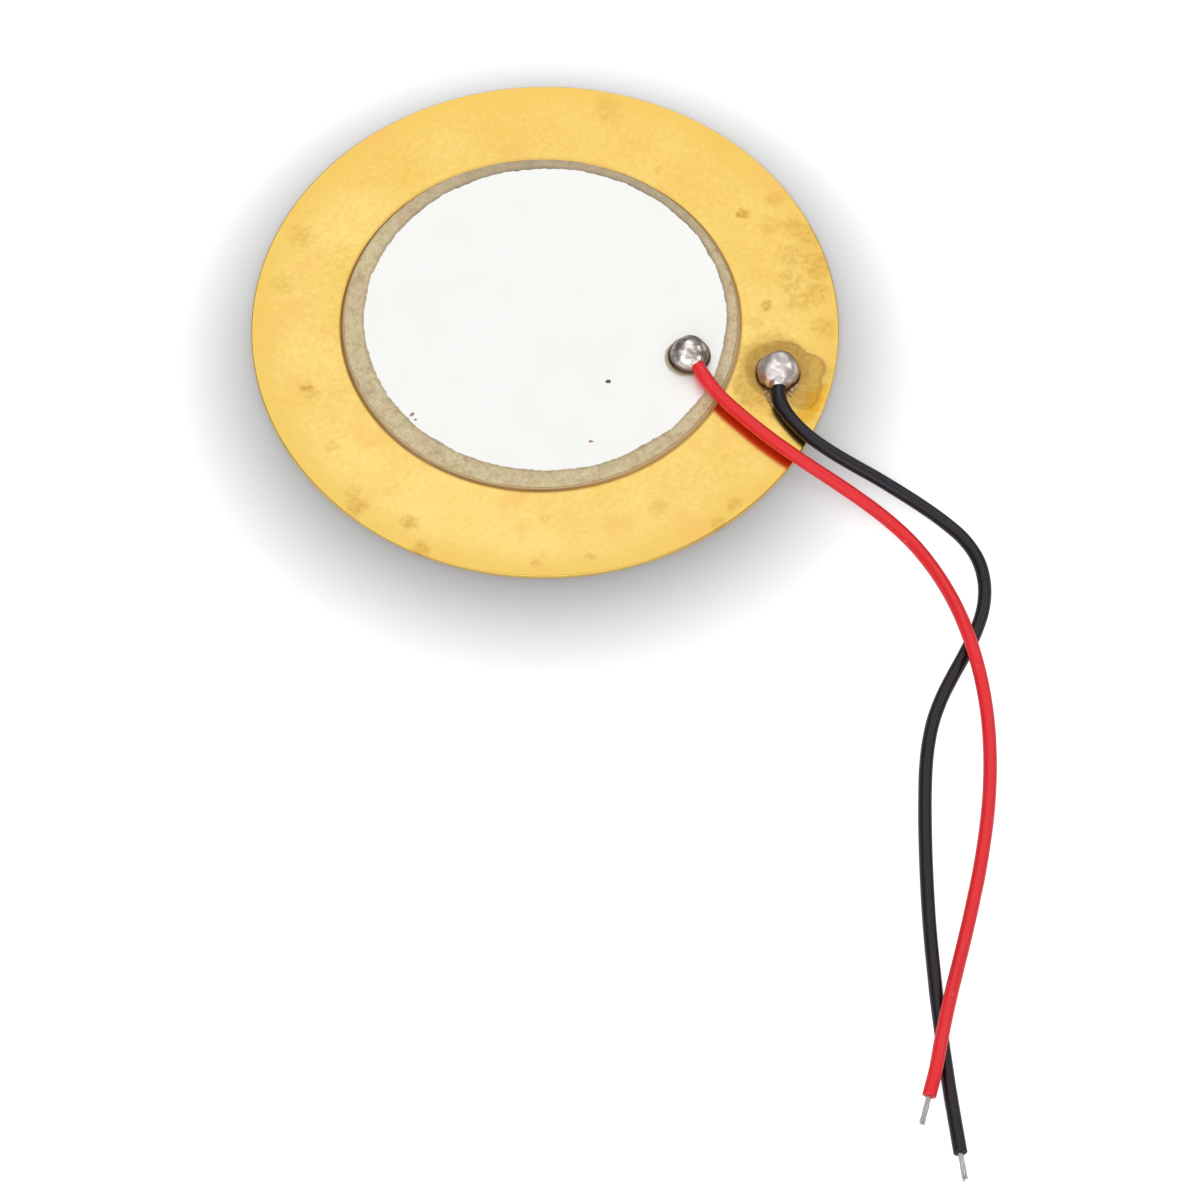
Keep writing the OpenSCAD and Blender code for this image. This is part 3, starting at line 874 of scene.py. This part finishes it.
# Each line of crumbs: its points in mm, the count, the scatter and sizes in mm, the seed
left_line = [(13.95, -1.2), (14.15, -1.65), (14.40, -2.1)]
right_line = [(15.45, -0.25), (15.35, -0.65), (15.30, -1.1)]
for name, points, count, scatter, smallest, largest, seed in (
    ("crumbs_left_of_black_lead", left_line, 15, 0.12, 0.04, 0.13, 5),
    ("crumbs_right_of_black_lead", right_line, 13, 0.10, 0.05, 0.15, 9),
):
    strip = bpy.data.meshes.new(name)
    along = [(x * MM, y * MM, plate_top + 0.03 * MM) for x, y in points]
    strip.from_pydata(along, [(0, 1), (1, 2)], [])
    own_sizes = {
        "Count": count, "Scatter": scatter * MM, "Smallest": smallest * MM, "Largest": largest * MM,
        "Seed": seed,
    }
    crumbs = grown(name, rule, own_sizes, bpy.data.objects.new(name, strip))
    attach(crumbs, "root")
    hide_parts("ground_flux")

# Dried drops: low ragged domes. Each gives X and Y in mm, its width, length, turn and colour.
DROP_ROUND = 40
DROP_LEVELS = ((0, 1.0), (0.010, 0.85), (0.016, 0.45))    # height in mm, share of the width
drop_mesh = bpy.data.meshes.new("dried_drops")
shell = bmesh.new()
shades = []
for x, y, wide, long, turned, shade, seed in (
    (4.7, -3.0, 0.34, 0.26, 20, "#6E553C", 1), (4.8, -7.35, 0.30, 0.14, 10, "#C9875A", 2),
    (-5.9, -8.25, 0.36, 0.18, 65, "#A39A8C", 3), (-5.6, -8.55, 0.18, 0.12, 30, "#8A7C68", 4),
):
    rows = []
    for level, share in DROP_LEVELS:
        rows.append([])
        for turn in turns(DROP_ROUND):
            r = 0.5 * share * (1 + 0.45 * ripple_round(turn, 0.7, seed))
            spot = Vector((wide * r * math.cos(turn), long * r * math.sin(turn)))
            spot.rotate(Matrix.Rotation(math.radians(turned), 2))
            point = (x + spot.x, y + spot.y, 0.0005 + level)
            rows[-1].append(shell.verts.new(MM * Vector(point) + Vector((0, 0, silver_top))))
            shades.append(paint(shade))
    for a, b in zip(rows, rows[1:]):
        for k in range(DROP_ROUND):
            m = (k + 1) % DROP_ROUND
            shell.faces.new((a[k], a[m], b[m], b[k]))
    shell.faces.new(rows[0][::-1])
    shell.faces.new(rows[-1])
bmesh.ops.recalc_face_normals(shell, faces=shell.faces)
shell.to_mesh(drop_mesh)
shell.free()
drop_colour = drop_mesh.attributes.new("drop_colour", "FLOAT_COLOR", "POINT")
for i, shade in enumerate(shades):
    drop_colour.data[i].color = shade
dried_drops = bpy.data.objects.new("dried_drops", drop_mesh)
bpy.context.scene.collection.objects.link(dried_drops)

# Burnt rosin: each drop has its own brown, a little clouded, with a soft shine
brown_rosin, tree, place = finish("burnt rosin")
tone = add_node(tree, "ShaderNodeTexNoise", {"Vector": place, "Scale": per_mm(0.12), "Detail": 3})
own = add_node(tree, "ShaderNodeAttribute", attribute_name="drop_colour")
colour = add_node(
    tree, "ShaderNodeMix", [tone, (own, "Color"), (0.35, 0.3, 0.25, 1)],
    data_type="RGBA", blend_type="MULTIPLY",
)
shader = add_node(
    tree, "ShaderNodeBsdfPrincipled", {"Base Color": colour, "Roughness": 0.35, "IOR": 1.54},
)
add_node(tree, "ShaderNodeOutputMaterial", {"Surface": shader})
drop_mesh.materials.append(brown_rosin)
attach(dried_drops, "root")
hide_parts("upper_electrode")


# ---------------------------------------------------------------------------------
# Bare cores
# Seven tinned copper strands: six laid in a twist round one. The stripped end is dipped
# in solder, which fills the heart, and the outermost tips spring open a little.
# ---------------------------------------------------------------------------------

# Tinned copper: a pale grey metal, a little lumpy where the tin froze on it
tinned, tree, place = finish("tinned copper strand")
dip = add_node(tree, "ShaderNodeTexNoise", {"Vector": place, "Scale": per_mm(0.3), "Detail": 2})
colour = add_node(tree, "ShaderNodeMix", [dip, paint("#E4E2DE"), paint("#C2BEB8")], data_type="RGBA")
gloss = add_node(tree, "ShaderNodeMapRange", {"Value": dip, "To Min": 0.2, "To Max": 0.4})
lumps = add_node(tree, "ShaderNodeBump", {"Height": dip, "Distance": 0.01 * MM})
shader = add_node(
    tree, "ShaderNodeBsdfPrincipled",
    {"Base Color": colour, "Roughness": gloss, "Normal": lumps, "Metallic": 1.0},
)
add_node(tree, "ShaderNodeOutputMaterial", {"Surface": shader})

# Strands as lines on a ring of points, twisted and splayed, then given their thickness
rule, sizes = new_rule("twisted strands", {
    "Length": ("Float", 2 * MM), "Lay": ("Float", 5 * MM), "Splay": ("Float", 0.0),
    "Strand radius": ("Float", 0.057 * MM), "Ring radius": ("Float", 0.1 * MM),
    "Uneven": ("Float", 0.0), "Seed": ("Int", 1),
})
ring = add_node(rule, "GeometryNodeMeshCircle", {"Radius": (sizes, "Ring radius"), "Vertices": 6})
heart = add_node(rule, "GeometryNodePoints", {"Count": 1})
starts = add_node(rule, "GeometryNodeJoinGeometry", {"Geometry": ring})
rule.links.new(heart.outputs[0], starts.inputs[0])
reach = add_node(rule, "ShaderNodeCombineXYZ", {"Z": (sizes, "Length")})
line = add_node(rule, "GeometryNodeCurvePrimitiveLine", {"End": reach})
line = add_node(rule, "GeometryNodeResampleCurve", {"Curve": line, "Count": 22})
shortest = add_node(rule, "ShaderNodeMath", [1.0, (sizes, "Uneven")], operation="SUBTRACT")
cut = add_node(
    rule, "FunctionNodeRandomValue", {"Min": shortest, "Max": 1.0, "Seed": (sizes, "Seed")},
    data_type="FLOAT",
)
cut = add_node(rule, "ShaderNodeCombineXYZ", {"X": 1.0, "Y": 1.0, "Z": cut})
strands = add_node(
    rule, "GeometryNodeInstanceOnPoints", {"Points": starts, "Instance": line, "Scale": cut},
)
strands = add_node(rule, "GeometryNodeRealizeInstances", {"Geometry": strands})
at = add_node(rule, "GeometryNodeInputPosition")
parts = add_node(rule, "ShaderNodeSeparateXYZ", {"Vector": at})
share = add_node(rule, "ShaderNodeMath", [(parts, "Z"), (sizes, "Length")], operation="DIVIDE")
share = add_node(rule, "ShaderNodeMath", [share, 3.0], operation="POWER")
opened = add_node(rule, "ShaderNodeMath", [share, (sizes, "Splay"), 1.0], operation="MULTIPLY_ADD")
opened = add_node(rule, "ShaderNodeCombineXYZ", {"X": opened, "Y": opened, "Z": 1.0})
spread = add_node(rule, "ShaderNodeVectorMath", [at, opened], operation="MULTIPLY")
twist = add_node(rule, "ShaderNodeMath", [(parts, "Z"), (sizes, "Lay")], operation="DIVIDE")
twist = add_node(rule, "ShaderNodeMath", [twist, 2 * math.pi], operation="MULTIPLY")
twisted = add_node(
    rule, "ShaderNodeVectorRotate", {"Vector": spread, "Angle": twist}, rotation_type="Z_AXIS",
)
strands = add_node(rule, "GeometryNodeSetPosition", {"Geometry": strands, "Position": twisted})
wire = add_node(
    rule, "GeometryNodeCurvePrimitiveCircle", {"Radius": (sizes, "Strand radius"), "Resolution": 12},
)
strands = add_node(
    rule, "GeometryNodeCurveToMesh", {"Curve": strands, "Profile Curve": wire, "Fill Caps": True},
)
strands = add_node(rule, "GeometryNodeRealizeInstances", {"Geometry": strands})
strands = add_node(rule, "GeometryNodeSetMaterial", {"Geometry": strands, "Material": tinned})
add_node(rule, "NodeGroupOutput", {"Geometry": strands})


# Routes of the leads. Each point gives the distance past the plate's rim along X, the
# place along Y, both in mm, and the height of the axis in lead diameters.
red_points = [
    (-5.80, -2.76, 1.22), (-4.40, -3.61, 1.20), (-2.98, -4.41, 1.19), (-1.51, -5.13, 1.17),
    (-0.01, -5.76, 1.07), (1.51, -6.34, 0.92), (3.03, -6.94, 0.76), (4.52, -7.59, 0.61),
    (5.96, -8.37, 0.55), (7.30, -9.29, 0.57), (8.50, -10.39, 0.74), (9.57, -11.62, 1.09),
    (10.55, -12.92, 1.42), (11.46, -14.27, 1.58), (12.31, -15.66, 1.52), (13.09, -17.09, 1.21),
    (13.77, -18.57, 0.85), (14.34, -20.10, 0.60), (14.80, -21.67, 0.52), (15.18, -23.25, 0.52),
    (15.49, -24.85, 0.52), (15.73, -26.47, 0.52), (15.91, -28.09, 0.52), (16.05, -29.71, 0.52),
    (16.14, -31.34, 0.52), (16.21, -32.97, 0.53), (16.26, -34.60, 0.58), (16.31, -36.23, 0.87),
    (16.37, -37.85, 1.31), (16.44, -39.48, 1.56), (16.54, -41.11, 1.59), (16.66, -42.74, 1.46),
    (16.66, -44.37, 1.11)
]
black_points = [
    (-1.80, -2.80, 0.97), (-0.48, -3.75, 0.97), (1.01, -4.46, 0.94), (2.57, -5.00, 0.83),
    (4.14, -5.48, 0.70), (5.68, -6.02, 0.58), (7.20, -6.63, 0.53), (8.68, -7.34, 0.52),
    (10.07, -8.20, 0.52), (11.20, -9.37, 0.52), (11.92, -10.84, 0.52), (12.23, -12.44, 0.52),
    (12.19, -14.07, 0.52), (11.94, -15.69, 0.52), (11.61, -17.29, 0.52), (11.33, -18.91, 0.52),
    (11.21, -20.54, 0.52), (11.30, -22.17, 0.52), (11.54, -23.79, 0.52), (11.88, -25.39, 0.52),
    (12.26, -26.98, 0.52), (12.67, -28.57, 0.52), (13.10, -30.15, 0.52), (13.55, -31.72, 0.52),
    (14.02, -33.29, 0.52), (14.52, -34.85, 0.52), (15.04, -36.40, 0.52), (15.57, -37.95, 0.52),
    (16.13, -39.49, 0.52), (16.70, -41.02, 0.52), (17.29, -42.55, 0.52), (17.89, -44.07, 0.52),
    (18.51, -45.59, 0.52), (19.13, -47.10, 0.52)
]
STRAIGHT_REACH = 2.2 * MM  # from a joint's centre to where its lead begins to bend


def route(foot, exit_angle, reach, points):
    """A lead's axis: the cut end, the end of the straight stretch, then the points."""
    way = heading(exit_angle)
    above = Vector(foot) + Vector((0, 0, LEAD_RISE))
    placed = [Vector((plate_r + x * MM, y * MM, high * 2 * LEAD_R)) for x, y, high in points]
    return [above + way * reach, above + way * STRAIGHT_REACH] + placed


def smooth_line(points, steps):
    """A smooth line through points, with that many short steps between each two."""
    ends = [2 * points[0] - points[1]] + points + [2 * points[-1] - points[-2]]
    line = []
    for a, b, c, d in zip(ends, ends[1:], ends[2:], ends[3:]):
        for i in range(steps):
            t = i / steps
            bend = (2 * a - 5 * b + 4 * c - d) * t ** 2 + (3 * b - a - 3 * c + d) * t ** 3
            line.append(0.5 * (2 * b + (c - a) * t + bend))
    return line + [points[-1]]


red_route = route(signal_foot, RED_EXIT, RED_REACH, red_points)
black_route = route(ground_foot, BLACK_EXIT, BLACK_REACH, black_points)

# Each core: name, node, the route and which end of it, length in mm, splay, unevenness, seed
for name, node, points, end, length, splay, uneven, seed in (
    ("red_core_in_solder", "red_joint_end", red_route, 0, 1.1, 0, 0, 1),
    ("black_core_in_solder", "black_joint_end", black_route, 0, 1.1, 0, 0, 1),
    ("red_tinned_end", "red_free_end", red_route, -1, 1.7, 0.25, 0.12, 3),
    ("black_tinned_end", "black_free_end", black_route, -1, 1.7, 0.35, 0.15, 8),
):
    core = grown(name, rule, {"Length": length * MM, "Splay": splay, "Uneven": uneven, "Seed": seed})
    outward = points[end] - points[-2 if end else 1]
    aim = outward.normalized().to_track_quat("Z", "Y").to_matrix().to_4x4()
    core.data.transform(Matrix.Translation(points[end]) @ aim)
    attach(core, "root")
    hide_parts(node)


# ---------------------------------------------------------------------------------
# Leads
# Thin hook-up wire: soft PVC extruded over the strands, red to the silver and black to
# the brass. The stripper cuts it square and leaves a slight lip, and each end is open
# round its core.
# ---------------------------------------------------------------------------------

LEAD_ROUND = 28
BORE_R = 0.17 * MM         # hole in the insulation that the core fills
BORE_DEPTH = 0.4 * MM      # how far the end is seen to be open
HEAT_SWELL = 0.06 * MM     # how far the PVC swelled beside the joints when they were hot
SWELL_AT, SWELL_WIDTH = 1.35 * MM, 0.65 * MM    # where that is, from the cut end
WAVER = 0.004 * MM         # how far the radius strays as the PVC is extruded
WAVER_SCALE = 900          # scale of the noise that it strays by, in one metre
ROUTE_STEPS = 6            # short steps between two points of a route


def insulation(name, line):
    """Tube of PVC along a line, with a square cut and an open bore at each end."""
    final = len(line) - 1
    spans = [(line[min(i + 1, final)] - line[max(i - 1, 0)]).normalized() for i in range(len(line))]
    start, first, end, last = line[0], spans[0], line[-1], spans[-1]
    side = Vector((0, 0, 1)).cross(first).normalized()
    rings = []

    def add_ring(centre, along, radius):
        nonlocal side
        side = (side - along * side.dot(along)).normalized()
        rings.append(hoop(centre, side, along.cross(side), radius, LEAD_ROUND))

    # Each ring of a cut end gives its distance in from the end, and its radius
    for inward, radius in (
        (BORE_DEPTH, BORE_R), (0, BORE_R), (0, LEAD_R - 0.05 * MM), (0.02 * MM, LEAD_R - 0.005 * MM),
    ):
        add_ring(start + first * inward, first, radius)
    for i in range(1, final):
        past_end = (line[i] - start).length
        swell = WAVER * noise.noise(line[i] * WAVER_SCALE)
        swell += HEAT_SWELL * math.exp(-((past_end - SWELL_AT) / SWELL_WIDTH) ** 2)
        add_ring(line[i], spans[i], LEAD_R - WAVER + swell)
    for inward, radius in (
        (0.10 * MM, LEAD_R), (0.03 * MM, LEAD_R), (0, LEAD_R - 0.03 * MM),
        (0.01 * MM, 0.25 * MM), (0.02 * MM, BORE_R), (BORE_DEPTH, BORE_R),
    ):
        add_ring(end - last * inward, last, radius)
    return skin(name, rings, sharp=50)


def pvc(name, main, shade, scuff, gloss):
    """Extruded PVC: satin, with small pale scuffs, its gloss dulled by its plasticiser."""
    material, tree, place = finish(name)
    tone = add_node(tree, "ShaderNodeTexNoise", {"Vector": place, "Scale": per_mm(2.5), "Detail": 2})
    colour = add_node(tree, "ShaderNodeMix", [tone, paint(main), paint(shade)], data_type="RGBA")
    scrape = add_node(
        tree, "ShaderNodeTexNoise",
        {"Vector": place, "Scale": per_mm(0.45), "Detail": 3, "Roughness": 0.7},
    )
    colour = tint(tree, colour, scuff, scrape, 0.66, 0.74, 0.5, "LINEAR")
    peel = add_node(tree, "ShaderNodeTexNoise", {"Vector": place, "Scale": per_mm(0.1), "Detail": 2})
    rough = add_node(
        tree, "ShaderNodeMapRange", {"Value": tone, "To Min": gloss - 0.06, "To Max": gloss + 0.06},
    )
    bump = add_node(tree, "ShaderNodeBump", {"Height": peel, "Distance": 0.004 * MM})
    shader = add_node(
        tree, "ShaderNodeBsdfPrincipled",
        {
            "Base Color": colour, "Roughness": rough, "Normal": bump, "IOR": 1.53,
            "Specular IOR Level": 0.4,
        },
    )
    add_node(tree, "ShaderNodeOutputMaterial", {"Surface": shader})
    return material


red_pvc = pvc("red PVC", "#F0242D", "#E61E27", "#F47C7C", 0.34)
black_pvc = pvc("black PVC", "#140D1B", "#0F0915", "#4A4452", 0.33)
for name, node, points, plastic, tip, length in (
    ("red_lead_pvc", "red_lead", red_route, red_pvc, "red_tinned_end", 0.056),
    ("black_lead_pvc", "black_lead", black_route, black_pvc, "black_tinned_end", 0.057),
):
    line = smooth_line(points, ROUTE_STEPS)
    lead = insulation(name, line)
    lead.data.materials.append(plastic)
    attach(lead, "root")
    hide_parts(node)


# ---------------------------------------------------------------------------------
# Table, light and camera
# A white table top in a plain room: a bright ceiling and dimmer walls, a wide window in
# front, and four smaller soft lamps. The table carries a soft painted shadow next to the plate.
# ---------------------------------------------------------------------------------

TABLE_HALF = 1.0           # half the width of the table, in metres
TABLE_DROP = 0.01 * MM     # keeps the table clear of the plate's underside
TABLE_WHITE = 0.65         # share of the lamps' light that the table returns
TABLE_SEEN, TABLE_MIRRORED = 0.80, 0.2    # glow that the camera and the reflections add to it
SHADE_WIDTH, SHADE_WIDER = 11 * MM, 3.7 * MM    # reach of the shade, and how much more in front
SHADE_DEPTH, SHADE_DEEPER = 0.595, 0.12         # share it takes off, and how much more in front
SHADE_FALL = 1.6           # power with which it fades
VIEW_AZIMUTH, VIEW_ELEVATION = math.radians(15), math.radians(58.66)
VIEW_AIM, VIEW_DISTANCE = Vector((8.06, -17.45, 0)) * MM, 0.3901
LAMP_DISTANCE = 0.6


def towards(azimuth, elevation):
    """Unit vector at an azimuth, counted from -Y towards +X, and an elevation."""
    return Vector((
        math.cos(elevation) * math.sin(azimuth), -math.cos(elevation) * math.cos(azimuth),
        math.sin(elevation),
    ))


table_mesh = bpy.data.meshes.new("table_top")
corners = [(x * TABLE_HALF, y * TABLE_HALF, -TABLE_DROP) for x, y in ((-1, -1), (1, -1), (1, 1), (-1, 1))]
table_mesh.from_pydata(corners, [], [(0, 1, 2, 3)])
table = bpy.data.objects.new("table_top", table_mesh)
bpy.context.scene.collection.objects.link(table)

# White laminate. Its painted shadow by the plate is a share taken off the white, seen by the camera only:
# widest and deepest on the viewer's side, and gone where it has run its width out from the rim.
white, tree, place = finish("white table top")
flat = add_node(tree, "ShaderNodeVectorMath", [place, (1, 1, 0)], operation="MULTIPLY")
far = add_node(tree, "ShaderNodeVectorMath", [flat], operation="LENGTH")
way = add_node(tree, "ShaderNodeVectorMath", [flat], operation="NORMALIZE")
near_side = add_node(
    tree, "ShaderNodeVectorMath", [way, towards(VIEW_AZIMUTH, 0)], operation="DOT_PRODUCT",
)
width = add_node(tree, "ShaderNodeMath", [near_side, SHADE_WIDER, SHADE_WIDTH], operation="MULTIPLY_ADD")
out = add_node(tree, "ShaderNodeMath", [far, plate_r], operation="SUBTRACT")
share = add_node(tree, "ShaderNodeMath", [out, width], operation="DIVIDE")
fade = add_node(tree, "ShaderNodeMapRange", {"Value": share, "From Min": 1.0, "From Max": 0.0})
fade = add_node(tree, "ShaderNodeMath", [fade, SHADE_FALL], operation="POWER")
deep = add_node(tree, "ShaderNodeMath", [near_side, SHADE_DEEPER, SHADE_DEPTH], operation="MULTIPLY_ADD")
dark = add_node(tree, "ShaderNodeMath", [fade, deep], operation="MULTIPLY")
rays = add_node(tree, "ShaderNodeLightPath")
dark = add_node(tree, "ShaderNodeMath", [dark, (rays, "Is Camera Ray")], operation="MULTIPLY")
level = add_node(tree, "ShaderNodeMath", [1.0, dark], operation="SUBTRACT")
tone = add_node(tree, "ShaderNodeCombineColor", {"Red": level, "Green": level, "Blue": level})
body_colour = add_node(
    tree, "ShaderNodeMix", [1.0, tone, (TABLE_WHITE, TABLE_WHITE, TABLE_WHITE, 1)],
    data_type="RGBA", blend_type="MULTIPLY",
)
matt = add_node(tree, "ShaderNodeBsdfDiffuse", {"Color": body_colour})
mirrored = add_node(
    tree, "ShaderNodeMath", [(rays, "Is Glossy Ray"), TABLE_MIRRORED], operation="MULTIPLY",
)
lift = add_node(
    tree, "ShaderNodeMath", [(rays, "Is Camera Ray"), TABLE_SEEN, mirrored], operation="MULTIPLY_ADD",
)
glow = add_node(tree, "ShaderNodeEmission", {"Color": tone, "Strength": lift})
both = add_node(tree, "ShaderNodeAddShader", {"Shader": matt, "Shader_001": glow})
add_node(tree, "ShaderNodeOutputMaterial", {"Surface": both})
table_mesh.materials.append(white)

# The ceiling is brighter than the walls, with a dimmer patch overhead. The camera sees white.
room = bpy.data.worlds.new("room")
bpy.context.scene.world = room
room.use_nodes = True
tree = room.node_tree
tree.nodes.clear()
sky = add_node(tree, "ShaderNodeTexCoord")
high = add_node(tree, "ShaderNodeSeparateXYZ", {"Vector": sky})
bright = add_node(
    tree, "ShaderNodeMapRange",
    {"Value": (high, "Z"), "From Min": 0.35, "From Max": 0.85, "To Min": 0.18, "To Max": 0.82},
    interpolation_type="SMOOTHSTEP",
)
overhead = add_node(tree, "ShaderNodeVectorMath", [sky, (0.03, -0.12, 0.99)], operation="DOT_PRODUCT")
overhead = add_node(
    tree, "ShaderNodeMapRange",
    {"Value": overhead, "From Min": 0.95, "From Max": 0.985, "To Min": 1.0, "To Max": 0.55},
    interpolation_type="SMOOTHSTEP",
)
bright = add_node(tree, "ShaderNodeMath", [bright, overhead], operation="MULTIPLY")
rays = add_node(tree, "ShaderNodeLightPath")
strength = add_node(tree, "ShaderNodeMix", [(rays, "Is Camera Ray"), bright, 1.0], data_type="FLOAT")
sky_light = add_node(tree, "ShaderNodeBackground", {"Strength": strength, "Color": (1, 1, 1, 1)})
add_node(tree, "ShaderNodeOutputWorld", {"Surface": sky_light})


def lamp(name, azimuth, elevation, width, height, glow):
    """A soft lamp aimed at the plate, as bright as a white surface times its glow."""
    light = bpy.data.lights.new(name, "AREA")
    light.shape, light.size, light.size_y = "RECTANGLE", width, height
    light.energy = glow * math.pi * width * height
    holder = bpy.data.objects.new(name, light)
    holder.location = LAMP_DISTANCE * towards(math.radians(azimuth), math.radians(elevation))
    holder.rotation_euler = (-holder.location).to_track_quat("-Z", "Y").to_euler()
    holder.visible_camera = False
    bpy.context.scene.collection.objects.link(holder)


lamp("window", 6, 30, 1.2, 0.50, 1.3)
lamp("left_lamp", -61, 56, 0.22, 0.24, 1.0)
lamp("side_lamp", 122, 34, 0.40, 0.24, 1.1)
lamp("back_lamp", 192, 36, 0.34, 0.20, 1.3)
lamp("softbox", 195, 62, 0.45, 0.40, 0.34)

camera_data = bpy.data.cameras.new("camera")
camera_data.lens, camera_data.sensor_width = 201.4, 36
camera_data.clip_start, camera_data.clip_end = 0.01, 10
camera = bpy.data.objects.new("camera", camera_data)
from_aim = towards(VIEW_AZIMUTH, VIEW_ELEVATION)
camera.location = VIEW_AIM + VIEW_DISTANCE * from_aim
camera.rotation_euler = (-from_aim).to_track_quat("-Z", "Y").to_euler()
bpy.context.scene.collection.objects.link(camera)
bpy.context.scene.camera = camera
bpy.context.scene.view_settings.view_transform = "Standard"
